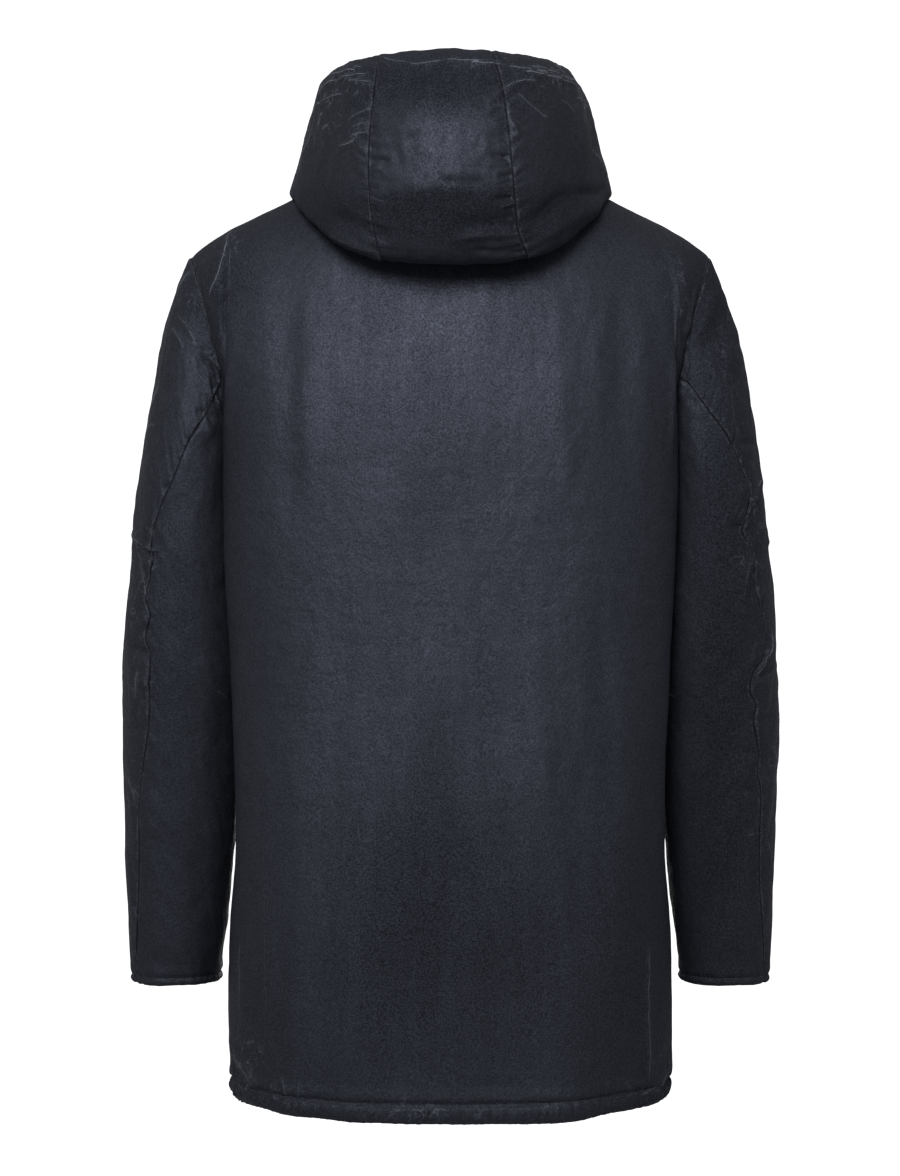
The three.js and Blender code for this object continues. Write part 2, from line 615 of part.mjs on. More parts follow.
// The pull, hanging from the middle of its cross bar, which is its origin.
function pull() {
  const { half: w, long, window: gap, windowLong, bar, tip } = PULL;
  const shape = new THREE.Shape();
  shape.moveTo(-w, bar);
  shape.lineTo(-w, -long + tip);
  shape.quadraticCurveTo(-w, -long, -w + tip, -long);
  shape.lineTo(w - tip, -long);
  shape.quadraticCurveTo(w, -long, w, -long + tip);
  shape.lineTo(w, bar);
  shape.closePath();
  const window = new THREE.Path();
  window.moveTo(-gap, -bar);
  window.lineTo(gap, -bar);
  window.lineTo(gap, -windowLong);
  window.lineTo(-gap, -windowLong);
  window.closePath();
  shape.holes.push(window);
  return new THREE.ExtrudeGeometry(shape, { depth: PULL.thick, bevelEnabled: false, curveSegments: 5 })
    .rotateX(QUARTER)
    .translate(0, PULL.thick / 2, 0);
}

// The jacket

const WAXED = { color: 0x2a2c35, roughness: 0.62, metalness: 0 };
const TAPE_CLOTH = { color: 0x17181c, roughness: 0.85, metalness: 0 };
const METAL = { color: 0x3a3b3f, roughness: 0.35, metalness: 1 };

const jacket = new THREE.Group();
jacket.name = "waxed_cotton_jacket";

function piece(name, geometry, finish) {
  const mesh = new THREE.Mesh(geometry, new THREE.MeshStandardMaterial(finish));
  mesh.name = name;
  jacket.add(mesh);
  return mesh;
}

function backPiece() {
  return clothWall((u, v) => body(BACK, u, v), bodyRows(bothSides), -1, (u, v) => bodyInward(BACK, u, v));
}

function frontPiece(side) {
  const face = (u, v) => body(FRONT, side * max(u, Number.EPSILON), v);
  return clothWall(face, bodyRows((us) => us), side, (u, v) => bodyInward(FRONT, side * u, v));
}

piece("back", backPiece(), WAXED);
for (const [name, side] of [["left", 1], ["right", -1]]) {
  piece(`front_${name}`, frontPiece(side), WAXED);
  piece(`sleeve_top_${name}`, sleevePiece(side, false), WAXED);
  piece(`sleeve_under_${name}`, sleevePiece(side, true), WAXED);
  piece(`hood_side_${name}`, hoodPiece(side), WAXED);
}
piece("hood_centre", hoodPiece(0), WAXED);
piece("zip", zip(), TAPE_CLOTH);

const sliderFace = hood(PI, SLIDER_RING)[1]; // the cloth's outer face where the slider stands
piece("zip_slider", slider(), METAL).position.set(0, sliderFace, SLIDER_Z);
piece("zip_pull", pull(), METAL).position.set(0, sliderFace + BRIDGE_AXIS, SLIDER_Z);

export default jacket;
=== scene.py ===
"""A padded, hooded, waxed cotton jacket as it looks: thin shells of cloth in the solids' place, with
their seams, puckers, creases, sewing, zip and finishes, and a studio to see it in.

Metres in Blender. The construction's own tables and the cloth's relief are in millimetres, which MM
turns into metres as each mesh is made. +Z up, the front faces -Y and the wearer's left is +X."""

import bpy
import numpy as np
from bpy.props import FloatProperty, FloatVectorProperty, PointerProperty
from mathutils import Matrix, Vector


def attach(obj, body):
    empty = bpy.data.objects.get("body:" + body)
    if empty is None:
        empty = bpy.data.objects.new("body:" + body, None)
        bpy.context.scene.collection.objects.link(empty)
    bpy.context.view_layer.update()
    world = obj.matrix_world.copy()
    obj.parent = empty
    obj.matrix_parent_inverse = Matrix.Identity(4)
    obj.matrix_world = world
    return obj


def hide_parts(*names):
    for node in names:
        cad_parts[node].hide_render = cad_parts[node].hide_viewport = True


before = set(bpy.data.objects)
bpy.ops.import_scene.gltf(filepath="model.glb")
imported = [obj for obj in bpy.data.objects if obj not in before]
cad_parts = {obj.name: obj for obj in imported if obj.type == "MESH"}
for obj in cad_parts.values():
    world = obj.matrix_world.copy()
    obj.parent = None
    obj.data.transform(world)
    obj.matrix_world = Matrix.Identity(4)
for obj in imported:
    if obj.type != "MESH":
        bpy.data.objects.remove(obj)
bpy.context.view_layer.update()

bl_info = {
    "name": "Waxed cotton jacket",
    "version": (1, 0, 0),
    "blender": (4, 5, 0),
    "location": "View3D > Sidebar > Jacket",
    "description": "Builds the cloth, sewing, zip and finishes of a hooded waxed cotton jacket",
    "category": "Object",
}

MM = 0.001
QUARTER = np.pi / 2

# Where the photo was taken from: the picture's size and centre in pixels, the size of a pixel in the
# plane of the shoulders, and the camera's distance behind that plane and its height, in millimetres.
PHOTO = {"wide": 900, "high": 1176, "middle_x": 449.7, "middle_y": 588, "pixel": 0.95}
CAMERA = {"away": 3000, "z": -400, "sensor": 36}


# Tables and curves


def table(names, *rows):
    """Columns by name. The first column is the one that look() goes by, and it rises."""
    columns = np.array(rows, float).T
    if columns[0, 0] > columns[0, -1]:
        columns = columns[:, ::-1]
    return dict(zip(names.split(), columns))


def look(rows, column, x):
    """A column's value at x: a cubic through the rows, whose slope at each row is that between the
    rows on both sides of it. Level past both ends."""
    key, y = next(iter(rows.values())), rows[column]
    behind = np.maximum(np.arange(len(key)) - 1, 0)
    ahead = np.minimum(np.arange(len(key)) + 1, len(key) - 1)
    slope = (y[ahead] - y[behind]) / (key[ahead] - key[behind])
    i = np.clip(np.searchsorted(key, x, side="right") - 1, 0, len(key) - 2)
    h = key[i + 1] - key[i]
    t = np.clip((x - key[i]) / h, 0, 1)
    from_low = (1 + 2 * t) * (1 - t) ** 2 * y[i] + t * (1 - t) ** 2 * h * slope[i]
    from_high = t * t * (3 - 2 * t) * y[i + 1] + t * t * (t - 1) * h * slope[i + 1]
    return from_low + from_high


def mix(a, b, t):
    return a + (b - a) * t


def ease(t):
    """0 below 0, 1 above 1 and the cubic 3t^2 - 2t^3 between them."""
    t = np.clip(t, 0, 1)
    return t * t * (3 - 2 * t)


def bell(x, width):
    return np.exp(-((x / width) ** 2))


def power(x, exponent):
    """A power of a number that rounding may have left just below 0."""
    return np.maximum(x, 0) ** exponent


def points(x, y, z):
    return np.stack(np.broadcast_arrays(x, y, z), -1)


# The construction: the same sizes and curves as the solids have, apart from the narrower gap at seams

SEAM = 0.02
HEM_Z, UNDERARM_Z = -877, -275
SQUARENESS = 0.7
HEM_DIP = {"deep": 8, "fade": 120}
NECK_X, NECK_U = 80, 0.3
SHOULDER = {"x": 245, "slope": 0.475, "round_from": 200, "round": 8}
ARMHOLE = {"x": 203.4, "flare": 41.6, "curve": 1.6}
BODY_ARC, BODY_LEAN, EDGE_PULL = 2.25, 1.6, 3.2

BACK = {
    "y": 1, "depth": "back", "pressed": 18, "neck_depth": 79, "neck_drop": 25, "neck_curve": 2,
    "armhole": 66, "turns_over": 0.94, "fold": 4.5, "placket": 0,
}
FRONT = {
    "y": -1, "depth": "front", "pressed": 32, "neck_depth": 110, "neck_drop": 84.6, "neck_curve": 3.2,
    "armhole": 62, "turns_over": 0.9, "fold": 2.25, "placket": 6,
}

# Body sections: half width, share that the arm presses in at the side, depths behind and before
BODY = table(
    "z half pressed back front",
    (-877, 202.5, 0, 148, 130),
    (-863, 205, 0, 148.5, 130.5),
    (-843, 207.5, 0, 149, 131),
    (-780, 208.5, 0, 149, 131),
    (-700, 208, 0.012, 146, 130),
    (-620, 210, 0.05, 141, 128),
    (-540, 214, 0.092, 137, 127),
    (-460, 218.5, 0.12, 134.5, 126),
    (-380, 223, 0.134, 135, 125),
    (-320, 224.5, 0.12, 137, 123),
    (-275, 224, 0.092, 138, 120),
)
# The hem's tunnel and the cuff's turned edge: how far the cloth stands out above its edge
HEM_RELIEF = table("up out", (0, 0), (4, 1.8), (9, 2.6), (14, 1.8), (17.5, -0.6), (21, 1.0), (32, 0))
CUFF_RELIEF = table("up out", (0, 0), (3.5, 1.0), (7.5, -0.5), (12, 0.5), (20, 0))
GATHER = {"count": 5, "pitch": 13, "height": 2.0, "fade": 48, "girth": 0.8}
FOLD = {"u": 0.9, "width": 0.055, "low": 0.35, "low_fade": 0.5, "high": 1.93, "high_fade": 0.25, "lean": 0.3}

CUFF_Z, CAP_Z, CAP_T = -778, -340, 0.3
SLEEVE_SQUARENESS, SLEEVE_RADIUS = 0.92, 55
SLEEVE = table(
    "z outer inner back front",
    (-778, 305.5, 222, 0, -102),
    (-750, 307.5, 219.5, 6, -101),
    (-700, 309.5, 213, 16, -99),
    (-620, 311.5, 204.5, 30, -96),
    (-540, 312.5, 199, 44, -94),
    (-470, 311, 197, 56, -92),
    (-400, 306, 197.5, 66, -90),
    (-340, 299.5, 199.5, 72, -88),
)
# Where the sleeve's two seams run: degrees from its outer side towards the back
SLEEVE_SEAMS = table(
    "t behind before",
    (0, 105, -135),
    (0.12, 95, -128),
    (0.22, 80, -126),
    (0.32, 60, -125),
    (0.45, 60, -124),
    (0.57, 64, -123),
    (0.72, 51, -122),
    (0.86, 46, -121),
    (1, 33, -120),
)
CAP_LEAVE = {"shoulder": (0.37, 0.27, 0.7), "underarm": (0.09, 0.45, 0.9)}  # out, back, down

HOOD = table(
    "s half back front z_back z_side z_front left right",
    (0, 79.6, 78.6, 109.8, -24.2, 0.7, -83.8, 48.46, 48.46),
    (1, 78, 76.5, 110.4, -17, 7, -80.5, 48.5, 48.5),
    (2, 83, 81, 111.4, -9, 12, -77.5, 49, 49),
    (3, 95, 91, 113, -16, 7, -74, 51, 51),
    (4, 117, 109, 115, -52, -9, -70, 55, 56),
    (5, 137, 129.5, 117, -91.5, -21, -65.5, 58, 62),
    (6, 148, 150, 119.5, -106, -29, -60, 59, 67),
    (7, 152, 171, 121.5, -104.5, -26, -54, 62.5, 69),
    (8, 147.5, 188, 123.5, -82, -11, -44, 69, 60.5),
    (9, 141, 197, 124.5, -42, 9, -32, 73, 56.5),
    (10, 136, 196, 124, 2, 30, -20, 72.5, 52.5),
    (11, 129.5, 184, 122, 45, 54, -9, 68, 47),
    (12, 122, 164, 118.5, 76, 74, 0, 66, 40),
    (13, 111, 140, 113, 87.5, 84.5, 4, 64, 38),
    (14, 98, 121, 108, 81, 80, 0, 60, 37),
    (15, 92, 112, 106, 60, 60, -12, 56, 37),
    (16, 89, 108, 105, 40, 40, -28, 54, 37),
)
HOOD_SQUARENESS, HOOD_SHAPED = 0.95, 6
HOOD_DROOP = {"curve": 3.4, "from": 4, "to": 7.5}
HOOD_RINGS = 16


def shoulder_z(x):
    """The shoulder seam's height: a straight slope, rounded off towards the arm."""
    past = np.maximum(0, x - SHOULDER["round_from"]) / (SHOULDER["x"] - SHOULDER["round_from"])
    return -SHOULDER["slope"] * (x - NECK_X) - SHOULDER["round"] * past**2


SHOULDER_Z = shoulder_z(SHOULDER["x"])


def armhole(depth, turn):
    """A point of the left armhole's edge: x and z rise with the sine of the turn, y goes with its
    cosine. The turn is a quarter down at the underarm and a quarter up at the shoulder."""
    rise = (1 + np.sin(turn)) / 2
    x = ARMHOLE["x"] + ARMHOLE["flare"] * rise ** ARMHOLE["curve"]
    return points(x, depth * np.cos(turn), mix(UNDERARM_Z, SHOULDER_Z, rise))


def relief(rows, up):
    return np.where(up < rows["up"][-1], look(rows, "out", up), 0)


def gather(w, half, up):
    """Waves round the sides of the hem: a raised cosine along the girth, which dies out up the body
    and away from the side seam."""
    along = (1 - w) * QUARTER * half * GATHER["girth"]
    fade = ease(GATHER["count"] - along / GATHER["pitch"]) * bell(up, GATHER["fade"])
    return GATHER["height"] / 2 * (1 + np.cos(2 * np.pi * along / GATHER["pitch"])) * fade


def body_below(face, w, z):
    """The body at or below the arms: a squared ellipse of the section's half width and depth, less
    what the arm presses in at the side, with the hem's relief and its dip at the centre."""
    turn = w * QUARTER
    pressed = look(BODY, "pressed", z) * np.exp(-((90 * (1 - w) / face["pressed"]) ** 4))
    half, up = look(BODY, "half", z), z - HEM_Z
    out = relief(HEM_RELIEF, up) - gather(w, half, up)
    x = (half + out) * power(np.sin(turn), SQUARENESS) * (1 - pressed)
    y = face["y"] * (look(BODY, face["depth"], z) + out) * power(np.cos(turn), SQUARENESS)
    dip = HEM_DIP["deep"] * power(np.cos(turn), 4) * np.exp(-up / HEM_DIP["fade"])
    return points(x, y, z - dip)


def top_edge(face, w):
    """The top edge of a half panel: the neckline, a quarter ellipse, then the shoulder seam."""
    a = np.minimum(w / NECK_U, 1) * QUARTER
    drop = -face["neck_drop"] * (1 - np.sin(a) ** face["neck_curve"])
    neck = points(NECK_X * np.sin(a), face["y"] * face["neck_depth"] * np.cos(a), drop)
    x = mix(NECK_X, SHOULDER["x"], (w - NECK_U) / (1 - NECK_U))
    return np.where((w < NECK_U)[..., None], neck, points(x, 0, shoulder_z(x)))


def body_above(face, w, t):
    """The body above the arms: each column rises from the underarm's level as a sine, turns over to
    the top edge on a superellipse, and is drawn onto the armhole's edge as it nears it."""
    pull = w**EDGE_PULL
    quarter = np.sin(t * QUARTER)
    edge_rise = quarter**2
    rise = mix(quarter**0.9, edge_rise, pull)
    low = body_below(face, w, np.full_like(w, UNDERARM_Z))
    reach = mix(face["turns_over"], 1, ease(3 * w / NECK_U / 2 - 0.5))

    def over(r):
        return 1 - power(1 - np.minimum(r, 1) ** BODY_ARC, 1 / BODY_ARC)

    shares = points(rise**BODY_LEAN, over(rise * reach) / over(reach), rise)
    edge = armhole(face["y"] * face["armhole"], (2 * t - 1) * QUARTER)
    edge_x = mix(ARMHOLE["x"], SHOULDER["x"], edge_rise**BODY_LEAN)
    unpulled = points(edge_x, 0, mix(UNDERARM_Z, SHOULDER_Z, edge_rise))
    return low + (top_edge(face, w) - low) * shares + pull[..., None] * (edge - unpulled)


def body(face, u, v, side=None):
    """A point of the body's outer face. u is 0 at the centre and 1 at the edge, negative on the
    right; v is 0 at the hem, 1 at the underarm's level and 2 at the top edge."""
    w = np.clip(np.abs(u), 0, 1)
    v = np.clip(v, 0, 2)
    below = body_below(face, w, mix(HEM_Z, UNDERARM_Z, np.minimum(v, 1)))
    p = np.where((v <= 1)[..., None], below, body_above(face, w, np.maximum(v, 1) - 1))
    along = ease((v - FOLD["low"]) / FOLD["low_fade"]) * ease((FOLD["high"] - v) / FOLD["high_fade"])
    fold = face["fold"] * along * bell(w - FOLD["u"], FOLD["width"])
    placket = face["placket"] * power(1 - w / NECK_U, 2)
    x = p[..., 0] + placket + FOLD["lean"] * fold - SEAM / 2 * w**8
    hand = np.sign(u) if side is None else side
    return points(hand * x, p[..., 1] + face["y"] * (SEAM / 2 + fold), p[..., 2])


def sleeve_section(beta, z):
    """A level section of the sleeve: an ellipse, a little squared, between its four sides."""
    outer, inner, back, front = (look(SLEEVE, c, z) for c in ("outer", "inner", "back", "front"))
    out = relief(CUFF_RELIEF, z - CUFF_Z)
    c, s = np.cos(beta), np.sin(beta)
    x = (outer + inner) / 2 + ((outer - inner) / 2 + out) * np.sign(c) * np.abs(c) ** SLEEVE_SQUARENESS
    y = (back + front) / 2 + ((back - front) / 2 + out) * np.sign(s) * np.abs(s) ** SLEEVE_SQUARENESS
    return points(x, y, z)


def sleeve(beta, t):
    """A point of the left sleeve. Below the cap it is a level section; the cap is a cubic curve from
    the armhole, which it leaves outwards, to the first section, where it runs straight down."""
    z = mix(CAP_Z, CUFF_Z, np.maximum(t - CAP_T, 0) / (1 - CAP_T))
    below = sleeve_section(beta, z)
    behind = np.sin(beta) >= 0
    depth = np.where(behind, BACK["y"] * BACK["armhole"], FRONT["y"] * FRONT["armhole"])
    start = armhole(depth, QUARTER - np.arccos(np.cos(beta))) + np.array([SEAM / 2, 0, 0])
    end = sleeve_section(beta, np.full_like(beta, CAP_Z))
    arrive = sleeve_section(beta, np.full_like(beta, CAP_Z - 1)) - end
    length = np.linalg.norm(end - start, axis=-1)[..., None]
    outside = (1 + np.cos(beta)) / 2
    (s_out, s_back, s_down), (u_out, u_back, u_down) = CAP_LEAVE["shoulder"], CAP_LEAVE["underarm"]
    leave = points(
        mix(u_out * np.abs(np.sin(beta)), s_out, outside**0.6),
        mix(u_back, s_back, outside) * np.sin(beta),
        -mix(u_down, s_down, outside),
    )
    h = (np.minimum(t, CAP_T) / CAP_T)[..., None]
    cap = (
        (1 + 2 * h) * (1 - h) ** 2 * start
        + h * (1 - h) ** 2 * length * leave
        + h * h * (3 - 2 * h) * end
        + h * h * (h - 1) * length * arrive
    )
    return np.where((t >= CAP_T)[..., None], below, cap)


def hood_squareness(s):
    return mix(1, HOOD_SQUARENESS, np.clip(s / HOOD_SHAPED, 0, 1))


def hood(theta, s):
    """A point of the hood's outer face on ring s: an ellipse with its own reach behind and before,
    whose height goes from its side's to its back's or front's with a power of the sine. theta is 0
    at the centre back and positive on the left."""
    behind = np.cos(theta) > 0
    across = np.abs(np.sin(theta))
    drawn = ease((s - HOOD_DROOP["from"]) / (HOOD_DROOP["to"] - HOOD_DROOP["from"]))
    curve = np.where(behind, mix(BACK["neck_curve"], HOOD_DROOP["curve"], drawn), FRONT["neck_curve"])
    past = np.maximum(0, np.abs(theta) / QUARTER - 1)
    reach = np.abs(np.cos(theta)) ** hood_squareness(s)
    x = look(HOOD, "half", s) * across ** hood_squareness(s) + FRONT["placket"] * past**2
    y = np.where(behind, look(HOOD, "back", s) * reach, -look(HOOD, "front", s) * reach)
    edge = np.where(behind, look(HOOD, "z_back", s), look(HOOD, "z_front", s))
    return points(np.sign(theta) * x, y, mix(edge, look(HOOD, "z_side", s), across**curve))


def hood_seam(side, s):
    """The angle at which a seam of the centre panel crosses ring s."""
    x = look(HOOD, "left" if side > 0 else "right", s)
    return side * np.arcsin((x / look(HOOD, "half", s)) ** (1 / hood_squareness(s)))


# Creases and puckers. A crease lies where the photo shows it: x and y are pixels of the photo, from
# the crease's start to its end. bow is how far its middle stands off the straight line, wide its half
# width and high its height, all in millimetres, and light how much wax has cracked along it.

CREASE = "x0 y0 x1 y1 bow wide high light"

HOOD_CREASES = table(
    CREASE,
    (327, 76, 359, 71, 1, 1.6, 0.9, 1), (318, 92, 337, 79, 1.5, 1.8, 1.1, 1),
    (335, 79, 370, 73, -1, 1.8, 0.9, 0.9), (330, 73, 364, 67, 1, 1.6, 0.7, 0.6),
    (347, 81, 372, 82, -1, 1.6, 0.7, 0.7), (314, 113, 320, 102, 1, 1.8, 0.9, 0.9),
    (319, 102, 345, 93, 1, 1.8, 0.8, 0.7), (299, 164, 312, 124, -2, 2.2, 0.7, 0.5),
    (349, 110, 375, 84, 1, 6, 1.3, 0), (347, 122, 374, 109, 1.5, 2.2, 0.9, 0.5),
    (351, 129, 373, 121, 1, 2.2, 0.9, 0.5), (349, 138, 368, 133, 1.5, 2, 0.8, 0.7),
    (337, 146, 357, 139, -1.5, 2, 0.8, 0.8), (366, 161, 390, 162, 1, 2.6, -1.3, 0),
    (366, 173, 384, 174, 0, 2.4, -1.1, 0), (366, 187, 380, 189, 0, 2.2, -1, 0),
    (367, 196, 384, 201, 0, 3, 0.8, 0.2), (396, 144, 455, 136, 2, 6, -0.7, 0),
    (430, 183, 492, 184, 1.5, 4, -0.45, 0), (436, 176, 492, 174, 1, 5, 0.4, 0),
    (395, 189, 470, 190, 1, 6, 0.6, 0), (488, 155, 514, 158, 0, 2.8, -1.6, 0),
    (496, 175, 514, 177, 0, 2.4, -1.1, 0), (490, 200, 516, 199, 1, 2.8, -1.4, 0),
    (498, 208, 516, 201, 0, 2.8, 1.1, 0.2), (483, 106, 504, 91, 1, 4.5, 1.3, 0.1),
    (488, 118, 504, 108, 1, 2.6, -0.9, 0), (507, 118, 516, 138, 1.5, 3, 1.1, 0.3),
    (381, 57, 410, 64, -1, 1.5, 0.5, 0.6), (408, 65, 442, 61, -0.5, 1.5, 0.6, 0.7),
    (440, 61, 508, 66, 1.5, 1.5, 0.6, 0.8), (467, 63, 500, 65, -0.6, 1.5, 0.5, 0.8),
    (506, 66, 552, 76, 1, 1.8, 0.8, 0.9), (519, 71, 581, 89, 2, 1.8, 1.1, 1),
    (524, 65, 579, 88, 3, 1.7, 0.9, 0.9), (553, 64, 575, 86, -1.5, 1.7, 0.9, 0.7),
    (503, 88, 537, 81, 2.5, 1.6, 0.7, 0.8), (515, 91, 548, 119, -1.5, 2.2, 0.8, 0.45),
    (575, 97, 587, 107, 0, 1.6, 0.8, 1), (558, 100, 574, 112, 1, 2, 0.5, 0.4),
    (590, 145, 606, 184, 2, 2.6, 0.8, 0.45), (608, 187, 572, 192, 4, 6, -2, 0),
    (577, 190, 526, 232, -3, 8, -2.4, 0), (604, 203, 530, 246, -2, 7, 1.6, 0),
    (440, 223, 528, 222, -2, 8, -1.8, 0), (448, 239, 529, 233, 2, 5, 1.7, 0.1),
    (466, 252, 524, 250, 0, 3, -0.9, 0), (330, 216, 360, 224, -1, 8, -1.8, 0),
    (352, 223, 396, 239, -2, 7, -1.8, 0), (328, 231, 378, 252, -3, 5, 1.5, 0.2),
    (370, 242, 381, 257, 0, 2, -1, 0),
)
BACK_CREASES = table(
    CREASE,
    (234, 229, 222, 262, -2, 1.8, 0.9, 0.9), (222, 258, 208, 297, 1.5, 1.8, 0.8, 0.8),
    (232, 235, 228, 296, -1, 2, 0.7, 0.35), (229, 290, 223, 360, 0, 2.2, 0.5, 0.25),
    (211, 303, 226, 308, 1.5, 2.2, -1.3, 0), (227, 228, 222, 384, 0, 2.1, -1.5, 0),
    (667, 250, 678, 305, 1.5, 2.2, 0.4, 0.12), (677, 300, 673, 360, 0, 2.2, 0.5, 0.15),
    (674, 335, 669, 470, 0, 2.4, 0.8, 0.1), (682, 312, 684, 348, 0, 2.4, -1.4, 0),
    (680, 296, 676, 384, 0, 2.1, -1.5, 0), (690, 313, 686, 338, 0, 2, 1, 0.15),
    (694, 288, 689, 318, 0, 1.8, 0.5, 0.3), (263, 880, 264, 1020, 2, 9, 0.8, 0.1),
    (241, 940, 240, 1022, 1, 4, 0.8, 0.3), (281, 960, 276, 1080, -2, 8, -0.7, 0),
    (648, 940, 649, 1086, -1, 3, 0.9, 0.5), (575, 850, 577, 960, 1, 7, -0.6, 0),
    (610, 870, 612, 1010, -2, 12, 0.7, 0), (338, 560, 318, 900, 8, 14, -0.9, 0),
    (398, 620, 378, 860, 5, 12, -0.5, 0), (540, 600, 556, 880, -6, 14, 0.7, 0),
    (500, 640, 505, 900, 4, 11, -0.5, 0), (600, 560, 622, 850, -6, 13, -0.8, 0),
    (282, 260, 286, 560, 6, 15, -1, 0), (316, 270, 306, 520, -5, 13, 0.9, 0),
    (352, 262, 362, 430, 4, 13, -0.6, 0), (560, 265, 572, 520, -5, 14, 0.9, 0),
    (618, 262, 612, 480, 4, 13, -0.9, 0), (640, 300, 642, 520, 3, 9, 0.6, 0),
    (231, 1028, 246, 1074, -3, 3.2, 1.7, 0.5), (241, 1058, 256, 1090, -2, 2.6, 1.5, 0.5),
    (250, 1062, 256, 1090, -1, 1.8, 0.8, 0.4), (233, 1062, 250, 1088, -2, 2.6, -1.2, 0),
    (270, 1082, 276, 1102, 0, 1.8, 0.9, 0.4), (281, 1076, 287, 1098, 0, 1.8, 0.9, 0.4),
    (300, 1084, 298, 1100, 0, 2, 0.6, 0.2), (668, 1056, 655, 1090, 2, 3, 1.6, 0.4),
    (662, 1080, 640, 1096, 1, 2.4, 1, 0.4), (669, 1070, 660, 1092, 1, 2.2, -1, 0),
    (626, 1080, 632, 1098, 0, 2.2, 0.7, 0.2),
)
SLEEVE_CREASES = table(
    CREASE,
    (190, 271, 178, 294, 0, 1.8, 1, 1), (171, 327, 184, 349, 1, 2.4, 0.8, 0.5),
    (177, 314, 197, 347, 1.5, 2.6, 0.9, 0.45), (196, 344, 226, 366, -2, 6, -2.2, 0),
    (197, 356, 219, 378, -3, 4.5, 1.5, 0), (207, 300, 188, 330, 3, 7, 0.8, 0),
    (159, 384, 148, 428, -1, 2, 0.8, 0.7), (150, 420, 144, 456, 0, 2, 0.7, 0.6),
    (212, 384, 220, 404, 1, 3.2, -1.2, 0), (195, 407, 216, 421, -1.5, 3.2, -1.6, 0),
    (193, 424, 214, 436, -2, 7, 1.2, 0), (160, 489, 176, 484, 0, 3, -1, 0),
    (133, 529, 142, 546, -1.5, 2.2, 1.6, 0.9), (139, 542, 158, 550, -2, 2.6, 1.5, 0.5),
    (136, 544, 156, 558, -2, 3.4, -2, 0), (141, 556, 156, 574, 0, 5.5, 1.3, 0),
    (134, 548, 146, 600, 2, 2, -1.2, 0), (136, 550, 145, 602, 2, 1.6, 0.8, 0.5),
    (129, 590, 149, 630, -3, 6, 1.5, 0), (126, 645, 156, 655, -1, 3.6, -1.5, 0),
    (139, 673, 152, 688, 0, 5.5, 1.2, 0), (137, 668, 134, 700, 1, 2, 0.6, 0.5),
    (128, 722, 146, 735, 1, 4.5, -0.8, 0), (127, 774, 136, 807, 2, 1.8, 0.8, 0.6),
    (131, 800, 142, 822, 1, 3.5, 0.6, 0), (134, 905, 140, 925, 0, 3, 0.6, 0.2),
    (216, 690, 226, 699, 0, 2.4, 0.5, 0.3), (718, 274, 682, 354, 6, 5.5, 2, 0),
    (728, 290, 690, 366, 8, 8, -1.8, 0), (734, 316, 727, 378, 2, 6, 1.3, 0),
    (728, 384, 740, 446, -2, 5, 0.8, 0.2), (684, 378, 679, 402, 0, 3.5, 1.2, 0),
    (683, 400, 700, 404, 1, 2.6, -1.1, 0), (690, 414, 708, 411, -1, 2.6, 0.8, 0),
    (724, 446, 760, 444, 1, 3.4, -1, 0), (740, 476, 751, 512, 2, 4.5, 1.4, 0.1),
    (761, 477, 752, 505, -1.5, 1.8, 1.2, 0.9), (764, 482, 756, 510, -1.5, 3.4, -1.6, 0),
    (729, 524, 742, 530, 0, 3, -1.4, 0), (752, 552, 742, 602, -2.5, 4, 1.5, 0.2),
    (764, 548, 772, 532, 0, 2.4, 0.9, 0.4), (761, 524, 766, 548, 0, 5, 1.2, 0),
    (771, 632, 765, 660, 2.5, 1.8, 0.9, 0.9), (768, 650, 754, 677, 1, 2, 1, 0.7),
    (756, 680, 775, 668, 1, 3, -1.2, 0), (742, 690, 752, 702, 0, 3, -1.1, 0),
    (757, 725, 774, 714, 1, 3.4, -1.1, 0), (741, 751, 756, 755, 0, 3, -1, 0),
    (773, 748, 776, 775, 0, 1.8, 0.7, 0.8), (736, 788, 755, 792, 0, 3, -0.9, 0),
    (758, 796, 774, 788, 0, 3.2, -0.9, 0), (744, 838, 753, 832, 0, 2.4, 0.7, 0.3),
    (768, 840, 770, 866, 0, 3, 0.8, 0.3), (664, 690, 676, 699, 0, 2.2, 0.7, 0.5),
    (672, 588, 682, 596, 0, 3, 0.6, 0.2),
)

# How far the back seam of each sleeve strays from its line, in millimetres towards the body
STRAY = {
    1: table(
        "t stray",
        (0, 0), (0.1, 1), (0.16, -1), (0.24, 1), (0.33, 0), (0.352, 4), (0.38, 2), (0.41, -3), (0.437, 3),
        (0.47, -2), (0.492, 2), (0.54, 0), (0.62, 1), (0.7, -0.5), (0.8, 0.5), (1, 0),
    ),
    -1: table(
        "t stray",
        (0, 0), (0.04, -5), (0.09, -8), (0.134, -11), (0.19, -16), (0.227, -17), (0.258, -17), (0.292, -3),
        (0.313, 6), (0.338, -3), (0.39, -3), (0.413, -7), (0.45, -15), (0.495, -16), (0.52, -3), (0.55, 1),
        (0.57, -5), (0.594, -1), (0.645, -3), (0.675, 1), (0.7, -1), (0.758, 3), (0.8, 4), (1, 0),
    ),
}
# How strongly the sleeve's back seam is puckered, by length along the sleeve
SLEEVE_PUCKER = table(
    "t much", (0, 0.5), (0.03, 1.2), (0.12, 1), (0.3, 0.8), (0.5, 0.7), (0.7, 0.4), (1, 0.35)
)
# The same for the hood's two seams, by its rings
HOOD_PUCKER = table("s much", (0, 0.2), (6, 0.5), (8, 0.9), (10, 1.2), (12, 0.9), (13, 0.5), (16, 0.2))


